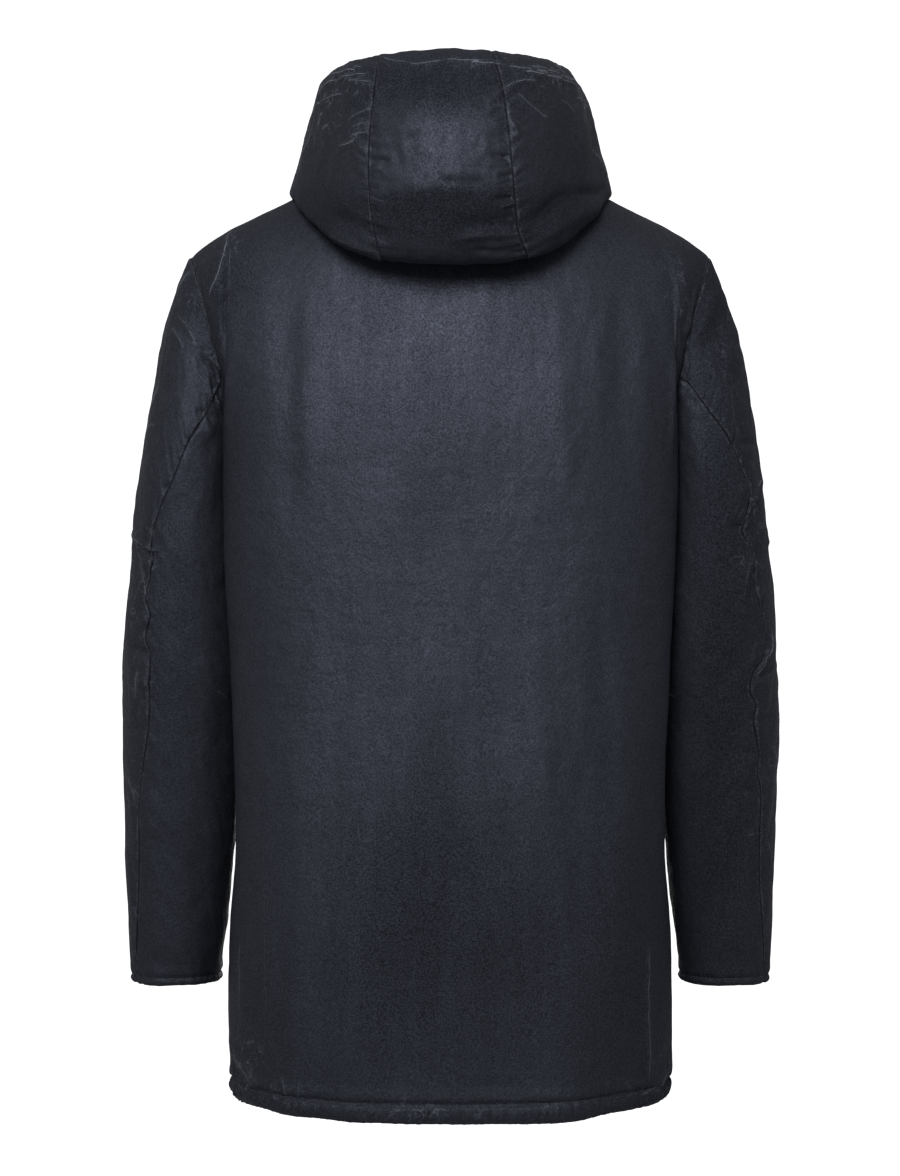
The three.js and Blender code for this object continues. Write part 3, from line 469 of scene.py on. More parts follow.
def in_photo(p):
    """Where points are seen in the photo, in its pixels: their places from the camera's axis, as
    large as their distance makes them."""
    nearer = CAMERA["away"] / (CAMERA["away"] - p[..., 1]) / PHOTO["pixel"]
    x = PHOTO["middle_x"] - p[..., 0] * nearer
    return x, PHOTO["middle_y"] + (CAMERA["z"] - p[..., 2]) * nearer


# All in millimetres or as shares of a crease's length: the narrowest half width that the grids can
# hold, how far cracked wax reaches from a crease, and the lengths in which both die out at its ends
FINEST, CRACKED_REACH = 2.1, 5
CREASE_END, CRACK_END = 0.3, 0.15
# The distance to a crease where there is none, and to an edge where none counts
NO_CREASE, NO_EDGE = 9.0, 99.0
# How many times higher than in the tables the creases stand, the share of that where the cloth is
# seen edge on, and how squarely it has to face the camera for all of it
HEIGHTEN, EDGE_ON, SQUARE_ON = 1.8, 0.3, 0.5


def creases(rows, x, y):
    """The sum of all creases at places in the photo, in millimetres, each a bell across its bent line
    that eases in and out along it. Also the signed distance to the crease with the most cracked wax
    there, and how cracked it is."""
    height, line, light = np.zeros_like(x), np.full_like(x, NO_CREASE), np.zeros_like(x)
    for x0, y0, x1, y1, bow, wide, high, crack in zip(*rows.values()):
        ex, ey = x1 - x0, y1 - y0
        length = np.hypot(ex, ey)
        along = ((x - x0) * ex + (y - y0) * ey) / length**2
        off = ((x - x0) * ey - (y - y0) * ex) / length * PHOTO["pixel"]
        off = off - 4 * bow * along * (1 - along)
        taper = ease(along / CREASE_END) * ease((1 - along) / CREASE_END)
        height += high * bell(off, max(wide, FINEST)) * taper
        fade = ease(along / CRACK_END) * ease((1 - along) / CRACK_END)
        here = crack * bell(off, CRACKED_REACH) * fade
        line = np.where(here > light, off, line)
        light = np.maximum(light, here)
    return height, line, light


def ripple(x, pitch, seed):
    """A smooth, uneven wave from -1 to 1 with about one crest in each pitch: a sum of five sines of
    pitches near it."""
    chance = np.random.default_rng(seed)
    total = sum(
        np.sin(2 * np.pi * (x / (pitch * chance.uniform(0.6, 1.8)) + chance.random())) for _ in range(5)
    )
    return total / 2.5


def drape(x, y, long_x, long_y, seed, waves=14):
    """Soft, uneven undulations from -1 to 1: a sum of plane waves, whose lengths along the two axes
    are near the ones given."""
    chance = np.random.default_rng(seed)
    total = 0
    for _ in range(waves):
        turn = chance.uniform(0, 2 * np.pi)
        stretch = chance.uniform(0.7, 1.9)
        kx, ky = np.cos(turn) / (long_x * stretch), np.sin(turn) / (long_y * stretch)
        total = total + np.sin(2 * np.pi * (x * kx + y * ky + chance.random()))
    return total / np.sqrt(waves / 2) / 1.6


# Meshes


def mesh_of(name, verts, groups, uv=None, attributes=None):
    """A mesh object from an array of points in millimetres and groups of faces, each an array with
    one row of corners for each face. uv and attributes hold one row for each point."""
    corners = np.concatenate([g.ravel() for g in groups]).astype(np.int32)
    sizes = np.concatenate([np.full(len(g), g.shape[1]) for g in groups])
    mesh = bpy.data.meshes.new(name)
    mesh.vertices.add(len(verts))
    mesh.vertices.foreach_set("co", (verts * MM).astype(np.float32).ravel())
    mesh.loops.add(len(corners))
    mesh.loops.foreach_set("vertex_index", corners)
    mesh.polygons.add(len(sizes))
    mesh.polygons.foreach_set("loop_start", np.concatenate([[0], np.cumsum(sizes)[:-1]]).astype(np.int32))
    mesh.polygons.foreach_set("use_smooth", np.ones(len(sizes), bool))
    mesh.update(calc_edges=True)
    if uv is not None:
        layer = mesh.uv_layers.new(name="cloth")
        layer.data.foreach_set("uv", uv[corners].astype(np.float32).ravel())
    for key, values in (attributes or {}).items():
        made = mesh.attributes.new(key, "FLOAT", "POINT")
        made.data.foreach_set("value", values.astype(np.float32))
    thing = bpy.data.objects.new(name, mesh)
    bpy.context.scene.collection.objects.link(thing)
    return thing


def grid_faces(rows, columns, first=0, flip=False):
    """The quads of a grid of points whose rows follow each other from the point numbered first."""
    ids = first + np.arange(rows * columns).reshape(rows, columns)
    quads = np.stack([ids[:-1, :-1], ids[:-1, 1:], ids[1:, 1:], ids[1:, :-1]], -1).reshape(-1, 4)
    return quads[:, ::-1] if flip else quads


def even(line, low, high, count, finer=()):
    """Parameters from low to high whose points on a line are evenly far apart, or closer round the
    places in finer, each with its reach and how many times closer."""
    t = np.linspace(low, high, 4001)
    step = np.linalg.norm(np.diff(line(t), axis=0), axis=-1)
    middle = (t[1:] + t[:-1]) / 2
    for place, reach, times in finer:
        step = step * (1 + (times - 1) * bell(middle - place, reach))
    total = np.concatenate([[0], np.cumsum(step)])
    return np.interp(np.linspace(0, total[-1], count), total, t)


# The inner face has one point for this many of the outer one, along and across
COARSE = 4
# How the shell ends: at a free edge it is rounded off by a share of its wall, and towards a seam it
# thins by another, each within a reach; edges sharper than an angle in degrees aren't smoothed
ROUNDED = {"share": 0.3, "reach": 1.5}
THINNED = {"share": 0.75, "reach": 5}
SHARP = 60


class Cloth:
    """A piece of cloth on a grid of u and v: its places, outward directions, lengths along the grid
    and distances from its edges, all in millimetres."""

    def __init__(self, face, us, vs, turn, sewn):
        self.us, self.vs = us, vs
        self.u, self.v = np.meshgrid(us, vs)
        self.base = face(self.u, self.v)
        along_v, along_u = np.gradient(self.base, axis=0), np.gradient(self.base, axis=1)
        out = np.cross(along_u, along_v) * turn
        self.out = out / np.linalg.norm(out, axis=-1, keepdims=True)
        self.turn = turn
        across = np.linalg.norm(np.diff(self.base, axis=1), axis=-1)
        along = np.linalg.norm(np.diff(self.base, axis=0), axis=-1)
        self.across = np.pad(np.cumsum(across, 1), ((0, 0), (1, 0)))
        self.along = np.pad(np.cumsum(along, 0), ((1, 0), (0, 0)))
        edges = {
            "start": self.across,
            "end": self.across[:, -1:] - self.across,
            "low": self.along,
            "high": self.along[-1:] - self.along,
        }
        far = np.full_like(self.u, NO_EDGE)
        self.edges = edges
        self.seam = np.minimum.reduce([edges[e] for e in sewn] + [far])
        self.free = np.minimum.reduce([edges[e] for e in edges if e not in sewn] + [far])
        self.x, self.y = in_photo(self.base)
        self.behind = ease((self.out[..., 1] + 0.35) / 0.3)
        self.height = np.zeros_like(self.u)
        self.line = np.full_like(self.u, NO_CREASE)
        self.light = np.zeros_like(self.u)
        self.crumple = spots(CRAZED, self.x, self.y) * self.behind
        # Spots of dull wax and of painted shade, where the colour is darkened
        self.matt = spots(DULL_AND_SHADE, self.x, self.y)

    def flat(self):
        """The size that the piece is cut to: its width, its length and its area, in metres."""
        sides = [np.diff(self.base, axis=0)[:, :-1], np.diff(self.base, axis=1)[:-1]]
        area = np.linalg.norm(np.cross(*sides), axis=-1).sum()
        return self.across[:, -1].max() * MM, self.along[-1].max() * MM, area * MM * MM

    def crease(self, rows, shown):
        """Lays a table's creases where they are shown, from 0 to 1."""
        height, line, light = creases(rows, self.x, self.y)
        facing = ease(np.abs(self.out[..., 1]) / SQUARE_ON)
        self.height += HEIGHTEN * height * shown * mix(EDGE_ON, 1, facing)
        self.line = np.where(light * shown > self.light, line, self.line)
        self.light = np.maximum(self.light, light * shown)

    def pucker(self, edge, pitch, reach, high, seed):
        """Short folds square to a seam: a ripple along it, which dies away from it and also right at
        the stitching. high is one height, or one for each row of points."""
        far = self.edges[edge]
        length = self.along if edge in ("start", "end") else self.across
        wave = ripple(length, pitch, seed) + 0.5 * ripple(length, pitch * 0.45, seed + 1)
        self.height += high * wave * np.exp(-far / reach) * (1 - bell(far, 1.6))

    def trough(self, edge, off, deep, wide):
        """The channel that a row of sewing draws into padded cloth, a bell across."""
        self.height -= deep * bell(self.edges[edge] - off, wide)

    def build(self, name, wall, swell, groove):
        """The closed shell: the outer face with its relief, swollen away from its seams and rounded
        at its free edges, the plain inner face, and the rim between them."""
        rounded = ROUNDED["share"] * wall * np.exp(-self.free / ROUNDED["reach"])
        lift = swell * (1 - bell(self.seam, groove)) - rounded + self.height * (1 - bell(self.seam, 1.0))
        self.outer = self.base + self.out * lift[..., None]
        shown_v, shown_u = np.gradient(self.outer, axis=0), np.gradient(self.outer, axis=1)
        shown = np.cross(shown_u, shown_v) * self.turn
        self.shown_out = shown / np.linalg.norm(shown, axis=-1, keepdims=True)
        thick = wall * (1 - THINNED["share"] * np.exp(-self.seam / THINNED["reach"]))
        inner = self.base - self.out * thick[..., None]
        rows, columns = self.u.shape
        picked_v, picked_u = (np.unique(np.r_[0:n:COARSE, n - 1]) for n in (rows, columns))
        inner = inner[np.ix_(picked_v, picked_u)]
        count = rows * columns
        groups = [
            grid_faces(rows, columns, 0, self.turn < 0),
            grid_faces(len(picked_v), len(picked_u), count, self.turn > 0),
        ]
        outer_ids = np.arange(count).reshape(rows, columns)
        inner_ids = count + np.arange(inner.shape[0] * inner.shape[1]).reshape(inner.shape[:2])
        rims = (
            (outer_ids[0], inner_ids[0], picked_u, self.turn > 0),
            (outer_ids[-1], inner_ids[-1], picked_u, self.turn < 0),
            (outer_ids[:, 0], inner_ids[:, 0], picked_v, self.turn < 0),
            (outer_ids[:, -1], inner_ids[:, -1], picked_v, self.turn > 0),
        )
        for fine, coarse, picked, flip in rims:
            for step in np.unique(np.diff(picked)):
                at = np.flatnonzero(np.diff(picked) == step)
                ring = [fine[picked[at] + k] for k in range(step, -1, -1)]
                faces = np.stack([coarse[at], coarse[at + 1], *ring], -1)
                groups.append(faces if flip else faces[:, ::-1])
        verts = np.concatenate([self.outer.reshape(-1, 3), inner.reshape(-1, 3)])

        def both(values):
            return np.concatenate([values.ravel(), values[np.ix_(picked_v, picked_u)].ravel()])

        uv = np.stack([both(self.across), both(self.along)], -1) * MM
        attributes = {
            "crease_line": both(self.line),
            "crease_light": both(self.light),
            "crumple": both(self.crumple),
            "matt": both(self.matt),
            "seam": both(self.seam),
        }
        piece = mesh_of(name, verts, groups, uv, attributes)
        piece.data.set_sharp_from_angle(angle=np.radians(SHARP))
        return piece

    def on(self, u, v):
        """Points of the outer face and its outward directions at places u, v, between the grid's
        points on a bilinear patch."""
        i = np.clip(np.searchsorted(self.us, u) - 1, 0, len(self.us) - 2)
        j = np.clip(np.searchsorted(self.vs, v) - 1, 0, len(self.vs) - 2)
        a = ((u - self.us[i]) / (self.us[i + 1] - self.us[i]))[..., None]
        b = ((v - self.vs[j]) / (self.vs[j + 1] - self.vs[j]))[..., None]
        found = []
        for grid in (self.outer, self.shown_out):
            low = mix(grid[j, i], grid[j, i + 1], a)
            found.append(mix(low, mix(grid[j + 1, i], grid[j + 1, i + 1], a), b))
        return found


def spindles(name, centre, way, out, reach, wide, high, lift):
    """Small closed spindles, one at each centre: five sides round a half ellipse along the way, with
    a half length, half width and half height, raised by lift. For stitches and zip teeth."""
    beside = np.cross(way, out)
    beside /= np.linalg.norm(beside, axis=-1, keepdims=True)
    up = np.cross(beside, way)
    t = np.array([-0.97, -0.55, 0.55, 0.97])
    turn = 2 * np.pi * np.arange(5) / 5
    along, turned = (a.ravel() for a in np.meshgrid(t, turn, indexing="ij"))
    girth = np.sqrt(1 - along**2)
    verts = (
        centre[:, None]
        + way[:, None] * (reach * along)[:, None]
        + beside[:, None] * (wide * girth * np.cos(turned))[:, None]
        + up[:, None] * (high * girth * np.sin(turned) + lift)[:, None]
    )
    k = np.arange(5)
    band = np.stack([k, (k + 1) % 5, (k + 1) % 5 + 5, k + 5], -1)
    bands = np.concatenate([band + 5 * r for r in range(3)])
    caps = np.stack([k[::-1], 15 + k])
    first = np.arange(len(centre))[:, None, None] * 20
    groups = [(first + bands).reshape(-1, 4), (first + caps).reshape(-1, 5)]
    return mesh_of(name, verts.reshape(-1, 3), groups)


def stitches(name, runs, sewing):
    """Machine stitches, one spindle every pitch along each run of points, half sunk in the cloth."""
    pitch, radius = sewing.pitch / MM, sewing.thread / MM / 2
    centres, ways, outs = [], [], []
    for place, out in runs:
        steps = np.linalg.norm(np.diff(place, axis=0), axis=-1)
        length = np.concatenate([[0], np.cumsum(steps)])
        at = np.arange(pitch / 2, length[-1] - 1, pitch)
        centre, ahead, facing = (
            np.stack([np.interp(at + shift, length, column) for column in source.T], -1)
            for source, shift in ((place, 0), (place, 1), (out, 0))
        )
        way = ahead - centre
        centres.append(centre)
        ways.append(way / np.linalg.norm(way, axis=-1, keepdims=True))
        outs.append(facing)
    centre, way, out = (np.concatenate(a) for a in (centres, ways, outs))
    return spindles(name, centre, way, out, sewing.stitch / MM / 2, radius, radius, 0.3 * radius)


def beside(cloth, edge, off, low=0.0, high=1.0):
    """A line on a piece's outer face that keeps its distance from one of its edges, between two
    shares of the edge's rows or columns."""
    lengthwise = edge in ("start", "end")
    far = cloth.edges[edge] if lengthwise else cloth.edges[edge].T
    across, keys = (cloth.us, cloth.vs) if lengthwise else (cloth.vs, cloth.us)
    turned = slice(None, None, -1 if edge in ("end", "high") else 1)
    found = np.array([np.interp(off, line[turned], across[turned]) for line in far])
    share = np.linspace(0, 1, len(keys))
    kept = (share >= low) & (share <= high)
    return cloth.on(found[kept], keys[kept]) if lengthwise else cloth.on(keys[kept], found[kept])


# Creases on the sides that the photo hides, in the same pixels, as if seen through the jacket

FRONT_CREASES = table(
    CREASE,
    (262, 300, 330, 372, 6, 7, 1.1, 0), (258, 352, 312, 402, -4, 5, -0.9, 0),
    (640, 296, 574, 366, -5, 7, 1.1, 0), (642, 356, 590, 398, 4, 5, -0.8, 0),
    (300, 250, 288, 300, 2, 3, 0.8, 0.3), (606, 252, 618, 306, -2, 3, 0.8, 0.3),
    (430, 470, 372, 500, -5, 9, 0.8, 0), (470, 560, 540, 586, 6, 9, -0.8, 0),
    (432, 660, 360, 640, 6, 9, 0.8, 0), (468, 742, 530, 720, -5, 8, 0.7, 0),
    (330, 700, 322, 1010, 8, 13, -1, 0), (380, 760, 386, 1040, -6, 12, 0.8, 0),
    (286, 780, 276, 1030, 5, 9, 0.8, 0), (520, 740, 514, 1030, 6, 12, -0.9, 0),
    (574, 700, 582, 1000, -8, 13, 0.9, 0), (622, 800, 630, 1040, 5, 9, -0.8, 0),
    (246, 1052, 258, 1088, -2, 3, 1.3, 0.4), (268, 1060, 274, 1094, 1, 2.6, 1, 0.3),
    (654, 1050, 640, 1088, 2, 3, 1.3, 0.4), (628, 1062, 622, 1096, -1, 2.6, 1, 0.3),
)
HOOD_FRONT_CREASES = table(
    CREASE,
    (338, 196, 398, 238, -6, 6, 1.3, 0), (346, 222, 404, 256, -4, 5, -1.2, 0),
    (328, 182, 352, 214, 3, 3, 0.9, 0.5), (566, 194, 506, 238, 5, 6, 1.3, 0),
    (556, 224, 500, 256, 3, 5, -1.2, 0), (574, 184, 556, 212, -3, 3, 0.9, 0.5),
    (410, 196, 428, 236, 2, 4, 0.8, 0.2), (492, 198, 474, 240, -2, 4, 0.8, 0.2),
)
SLEEVE_FRONT_CREASES = table(
    CREASE,
    (150, 536, 210, 520, 5, 6, -1.8, 0), (146, 552, 204, 556, -4, 5, 1.4, 0.2),
    (148, 580, 196, 604, 5, 6, -1.3, 0), (176, 500, 214, 476, -4, 6, 1.1, 0),
    (196, 330, 224, 372, 5, 6, -1.3, 0), (176, 344, 206, 396, 5, 6, 0.9, 0),
    (142, 690, 190, 706, 4, 7, 0.8, 0), (134, 812, 182, 800, -4, 6, -0.8, 0),
    (138, 906, 176, 920, 3, 5, 0.7, 0.2), (748, 534, 690, 518, -5, 6, -1.8, 0),
    (752, 550, 694, 556, 4, 5, 1.4, 0.2), (750, 584, 704, 606, -5, 6, -1.3, 0),
    (722, 498, 688, 474, 4, 6, 1.1, 0), (704, 326, 678, 370, -5, 6, -1.3, 0),
    (724, 340, 694, 394, -5, 6, 0.9, 0), (756, 688, 710, 708, -4, 7, 0.8, 0),
    (764, 810, 718, 798, 4, 6, -0.8, 0), (762, 904, 724, 922, -3, 5, 0.7, 0.2),
)

# Where the wax has crazed: places in the photo, how far the crazing reaches and how much of it shows
CRAZED = table(
    "x y reach_x reach_y much",
    (318, 118, 16, 34, 0.9), (338, 84, 34, 16, 1),
    (356, 132, 16, 22, 0.7), (470, 63, 70, 7, 0.5),
    (556, 80, 30, 14, 0.9), (586, 108, 14, 26, 0.7),
    (505, 118, 14, 30, 0.5), (228, 250, 14, 30, 0.8),
    (184, 290, 20, 30, 0.5), (205, 350, 26, 22, 0.5),
    (150, 420, 10, 44, 0.7), (142, 548, 16, 22, 0.9),
    (138, 610, 14, 40, 0.6), (133, 690, 10, 30, 0.5),
    (132, 790, 10, 34, 0.6), (425, 1110, 60, 10, 0.8),
    (243, 1075, 12, 30, 0.7), (280, 1098, 14, 18, 0.6),
    (676, 290, 14, 40, 0.6), (735, 350, 24, 60, 0.4),
    (756, 500, 16, 34, 0.9), (752, 570, 18, 30, 0.6),
    (768, 655, 12, 34, 0.8), (774, 765, 10, 26, 0.7),
    (244, 1062, 18, 30, 0.7), (658, 1070, 16, 26, 0.7),
)

# Where the wax is dull and where shade is painted, both darker and rougher: places of the same kind. The
# painted shade is the light's fall-off down the body and the sleeves and towards the sides of the back, and
# the shade under the hood and at its top and sides
DULL_AND_SHADE = table(
    "x y reach_x reach_y much",
    (450, 222, 150, 26, 1), (450, 198, 130, 16, 0.55),
    (430, 76, 140, 36, 0.6), (320, 165, 42, 70, 0.45),
    (570, 165, 48, 70, 0.6), (178, 660, 50, 300, 0.45),
    (725, 640, 48, 400, 0.9), (720, 270, 50, 70, 0.6),
    (450, 1020, 300, 150, 0.4), (640, 900, 60, 260, 0.35),
    (225, 290, 50, 75, 0.6), (636, 300, 40, 60, 0.3),
    (450, 850, 150, 150, 0.5), (430, 590, 150, 90, 0.15),
    (430, 96, 110, 32, 0.3),
)


def spots(rows, x, y):
    """The sum of a bell over each of a table's places in the photo, and no more than 1."""
    total = np.zeros_like(x)
    for at_x, at_y, reach_x, reach_y, much in zip(*rows.values()):
        total += much * np.exp(-(((x - at_x) / reach_x) ** 2) - ((y - at_y) / reach_y) ** 2)
    return np.minimum(total, 1)


# The pieces of cloth

# How many points each grid has across and along, and the level below which the body's long folds
# grow, and how much further down they reach their full height
GRID = {
    "back": (275, 311), "front": (119, 261), "top": (119, 291), "under": (75, 291),
    "centre": (83, 271), "side": (151, 271),
}
LOWER = {"from": -300, "over": 350}
# How far each row of sewing is from its edge
TRIM = {"hem": 17.5, "cuff": 7.8, "rim": 17, "seam": 1.5, "front": 6.5}


def soften(cloth, seed, large, small):
    """The padding's own unevenness: broad undulations and, smaller, the wax cloth's."""
    cloth.height += large * drape(cloth.across, cloth.along, 46, 70, seed)
    cloth.height += small * drape(cloth.across, cloth.along, 13, 17, seed + 1, 20)


def hem(cloth, seed):
    """What the cord does to the hem: pleats, which are strongest at the sides, and small crumples
    along its tunnel."""
    up = cloth.edges["low"]
    side = ease((np.abs(cloth.u) - 0.7) / 0.25)
    cloth.height += ripple(cloth.across, 8, seed) * bell(up, 36) * mix(0.28, 1.4, side)
    cloth.height += 0.8 * ripple(cloth.across, 6.5, seed + 3) * bell(up - 9, 6)
    cloth.height += 0.5 * ripple(cloth.across, 10, seed + 4) * bell(up - TRIM["hem"], 7)
    cloth.trough("low", TRIM["hem"], 0.45, 1.2)
    cloth.crumple = np.maximum(cloth.crumple, 0.5 * bell(up, 30) * side)


def dress(cloth, node, runs=()):
    """Makes a node's piece of cloth, with the stitches on it, and hands both to the frame."""
    scene = bpy.context.scene
    size = scene.jacket_cloth
    piece = cloth.build(f"{node}_cloth", size.wall / MM, size.swell / MM, size.groove / MM)
    piece.data.materials.append(waxed_cotton())
    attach(piece, "jacket")
    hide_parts(node)
    sewn = []
    if runs:
        lines = [beside(cloth, *run) for run in runs]
        sewn = [stitches(f"{node}_stitches", lines, scene.jacket_sewing)]
        sewn[0].data.materials.append(sewing_thread())
        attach(sewn[0], "jacket")
    width, length, area = cloth.flat()


def make_back():
    def across(u):
        return body(BACK, u, np.full_like(u, 0.6))

    def upwards(v):
        return body(BACK, np.full_like(v, 0.35), v)

    wide, high = GRID["back"]
    us = even(across, -1, 1, wide, ((-1, 0.05, 1.6), (1, 0.05, 1.6)))
    vs = even(upwards, 0, 2, high, ((0, 0.06, 2.2),))
    cloth = Cloth(lambda u, v: body(BACK, u, v), us, vs, -1, ("start", "end", "high"))
    x, z = cloth.base[..., 0], cloth.base[..., 2]
    low = ease((LOWER["from"] - z) / LOWER["over"])
    cloth.height += mix(0.25, 1.3, low) * drape(x, z, 58, 330, 11)
    cloth.height += 0.5 * drape(x, z, 90, 120, 12)
    cloth.height += 0.16 * drape(x, z, 15, 22, 13, 20)
    cloth.crease(BACK_CREASES, cloth.behind)
    cloth.pucker("start", 11, 9, 0.45, 14)
    cloth.pucker("end", 11, 9, 0.45, 15)
    hem(cloth, 16)
    runs = [("low", TRIM["hem"]), ("start", TRIM["seam"], 0.66), ("end", TRIM["seam"], 0.66)]
    dress(cloth, "back", runs)


def make_front(name, side):
    def across(u):
        return body(FRONT, u, np.full_like(u, 0.6), side)

    def upwards(v):
        return body(FRONT, np.full_like(v, 0.35), v, side)

    wide, high = GRID["front"]
    us = even(across, 0, 1, wide, ((0, 0.03, 1.5), (1, 0.05, 1.6)))
    vs = even(upwards, 0, 2, high, ((0, 0.06, 2.2),))
    cloth = Cloth(lambda u, v: body(FRONT, u, v, side), us, vs, side, ("end", "high"))
    x, z = cloth.base[..., 0], cloth.base[..., 2]
    low = ease((LOWER["from"] - z) / LOWER["over"])
    cloth.height += mix(0.3, 1.1, low) * drape(x, z, 55, 260, 21 + side)
    cloth.height += 0.5 * drape(x, z, 80, 90, 24 + side) + 0.16 * drape(x, z, 15, 22, 27 + side, 20)
    cloth.crease(FRONT_CREASES, 1 - cloth.behind)
    cloth.pucker("end", 11, 9, 0.45, 31 + side)
    cloth.pucker("start", 16, 6, 0.3, 34 + side)
    cloth.trough("start", TRIM["front"], 0.6, 1.8)
    hem(cloth, 37 + side)
    runs = [("low", TRIM["hem"]), ("start", TRIM["front"]), ("end", TRIM["seam"], 0.66)]
    dress(cloth, f"front_{name}", runs)


def sleeve_face(side, under):
    """One of a sleeve's two pieces: u runs from 0 to 1 round the outside, or round the underside."""

    def face(u, v):
        gap = SEAM / 2 / SLEEVE_RADIUS
        behind = np.radians(look(SLEEVE_SEAMS, "behind", v)) + look(STRAY[side], "stray", v) / SLEEVE_RADIUS
        before = np.radians(look(SLEEVE_SEAMS, "before", v))
        if under:
            p = sleeve(mix(behind + gap, before + 2 * np.pi - gap, u), v)
        else:
            p = sleeve(mix(before + gap, behind - gap, u), v)
        return p * np.array([side, 1, 1])

    return face


def make_sleeve(name, side, under):
    face = sleeve_face(side, under)
    (wide, high), seed = (GRID["under"], 60) if under else (GRID["top"], 50)
    seed += side

    def across(u):
        return face(u, np.full_like(u, 0.5))

    def lengthwise(v):
        return face(np.full_like(v, 0.5), v)

    us = even(across, 0, 1, wide, ((0, 0.03, 1.4), (1, 0.03, 1.4)))
    vs = even(lengthwise, 0, 1, high, ((0, 0.02, 1.5), (1, 0.02, 2)))
    cloth = Cloth(face, us, vs, -side, ("start", "end", "low"))
    soften(cloth, seed, 0.9, 0.3)
    cloth.crease(SLEEVE_CREASES, cloth.behind)
    cloth.crease(SLEEVE_FRONT_CREASES, 1 - cloth.behind)
    much = look(SLEEVE_PUCKER, "much", cloth.v)
    back, front = ("start", "end") if under else ("end", "start")
    cloth.pucker(back, 13, 10, 1.3 * much, seed + 4)
    cloth.pucker(front, 13, 8, 0.5 * much, seed + 8)
    cloth.pucker("low", 10, 8, 0.5, seed + 12)
    cloth.height += 0.6 * ripple(cloth.across, 9, seed + 16) * bell(cloth.edges["high"] - TRIM["cuff"], 6)
    cloth.trough("high", TRIM["cuff"], 0.4, 1.2)
    runs = [("low", TRIM["seam"]), ("high", TRIM["cuff"])]
    if not under:
        runs += [("end", TRIM["seam"]), ("start", TRIM["seam"])]
    node = f"sleeve_{'under' if under else 'top'}_{name}"
    dress(cloth, node, runs)


def hood_face(side):
    """The hood's centre panel, between its two seams, or a side panel, from its seam to the zip."""

    def face(u, s):
        gap = SEAM / 2 / look(HOOD, "half", s)
        if side == 0:
            return hood(mix(hood_seam(-1, s) + gap, hood_seam(1, s) - gap, u), s)
        return hood(mix(hood_seam(side, s) + side * gap, np.full_like(s, side * np.pi), u), s)

    return face


def make_hood(node, side):
    face = hood_face(side)

    def across(u):
        return face(u, np.full_like(u, 9.0))

    def over(s):
        return face(np.full_like(s, 0.5 if side == 0 else 0.2), s)

    wide, high = GRID["side" if side else "centre"]
    us = even(across, 0, 1, wide, ((0, 0.03, 1.5), (1, 0.03, 1.3)))
    vs = even(over, 0, HOOD_RINGS, high)
    sewn = ("start", "end", "low") if side == 0 else ("start", "low")
    cloth = Cloth(face, us, vs, 1 if side < 0 else -1, sewn)
    outside = ease((cloth.v - 4.8) / 1.2) * ease((13.6 - cloth.v) / 0.7)
    rear = ease((cloth.base[..., 1] + 70) / 60)
    soften(cloth, 70 + side, 1.1, 0.3)
    cloth.crease(HOOD_CREASES, cloth.behind * outside * rear)
    cloth.crease(HOOD_FRONT_CREASES, (1 - rear) * outside)
    much = look(HOOD_PUCKER, "much", cloth.v)
    cloth.pucker("start", 12, 10, 1.4 * much, 74 + side)
    if side == 0:
        cloth.pucker("end", 12, 10, 1.4 * much, 78)
    cloth.trough("high", TRIM["rim"], 0.7, 1.8)
    cloth.crumple = np.maximum(cloth.crumple, 0.35 * bell(cloth.v - 13, 0.5))
    runs = [("high", TRIM["rim"])]
    if side:
        runs += [("start", TRIM["seam"], 0.12), ("end", TRIM["front"])]
    dress(cloth, node, runs)


# Zip: the line that it follows and what lies on it

TAPE = {"half": 13, "behind": 0.6, "u": 0.045, "turn": 0.1, "end": 3, "rings": (1.5, 11)}
CHAIN = {"high": 2.7, "reach": 2.1, "half": 0.62, "stagger": 0.5}


def zip_line(step):
    """Points of the line down the front that the zip follows, evenly apart, and their outward
    directions, square to the line in the middle plane."""
    v = np.linspace(0, 2, 400)
    low = body(FRONT, np.full_like(v, TAPE["u"]), v, 1)
    s = np.linspace(*TAPE["rings"], 120)
    high = hood(np.full_like(s, np.pi - TAPE["turn"]), s)
    line = np.concatenate([low, high])[:, 1:]
    line = line[line[:, 1] > HEM_Z + TAPE["end"]]
    length = np.concatenate([[0], np.cumsum(np.linalg.norm(np.diff(line, axis=0), axis=-1))])
    at = np.arange(0, length[-1], step)
    y, z = (np.interp(at, length, column) for column in line.T)
    dy, dz = np.gradient(y), np.gradient(z)
    size = np.hypot(dy, dz)
    return at, points(0, y, z), points(0, -dz / size, dy / size)


def make_zip():
    scene = bpy.context.scene
    wall, thick = scene.jacket_cloth.wall / MM, scene.jacket_zip.tape / MM
    at, line, out = zip_line(3)
    deep = -(wall + TAPE["behind"])

    def face(u, v):
        _, y, z = (np.interp(v, at, column) for column in (line + deep * out).T)
        return points(u * TAPE["half"], y, z)

    tape = Cloth(face, np.linspace(-1, 1, 53), at, 1, ())
    across = np.abs(tape.base[..., 0])
    tape.height += 0.35 * bell(across - 3.6, 0.7) - 0.15 * bell(across - 8, 0.8)
    piece = tape.build("zip_tape", thick, 0, 1)
    piece.data.materials.append(zip_tape())
    at, line, out = zip_line(scene.jacket_zip.pitch / MM)
    centre = line + out * (deep + CHAIN["high"] / 2)
    centre[:, 0] = CHAIN["stagger"] * np.where(np.arange(len(at)) % 2, 1, -1)
    way = np.tile([1.0, 0, 0], (len(at), 1))
    teeth = spindles("zip_teeth", centre, way, out, CHAIN["reach"], CHAIN["half"], CHAIN["high"] / 2, 0)
    teeth.data.materials.append(zip_teeth())
    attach(piece, "jacket")
    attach(teeth, "jacket")
    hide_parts("zip")
    width, length, area = tape.flat()
    for node in ("zip_slider", "zip_pull"):
        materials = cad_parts[node].data.materials
        materials.clear()
        materials.append(dark_nickel())


# Finishes


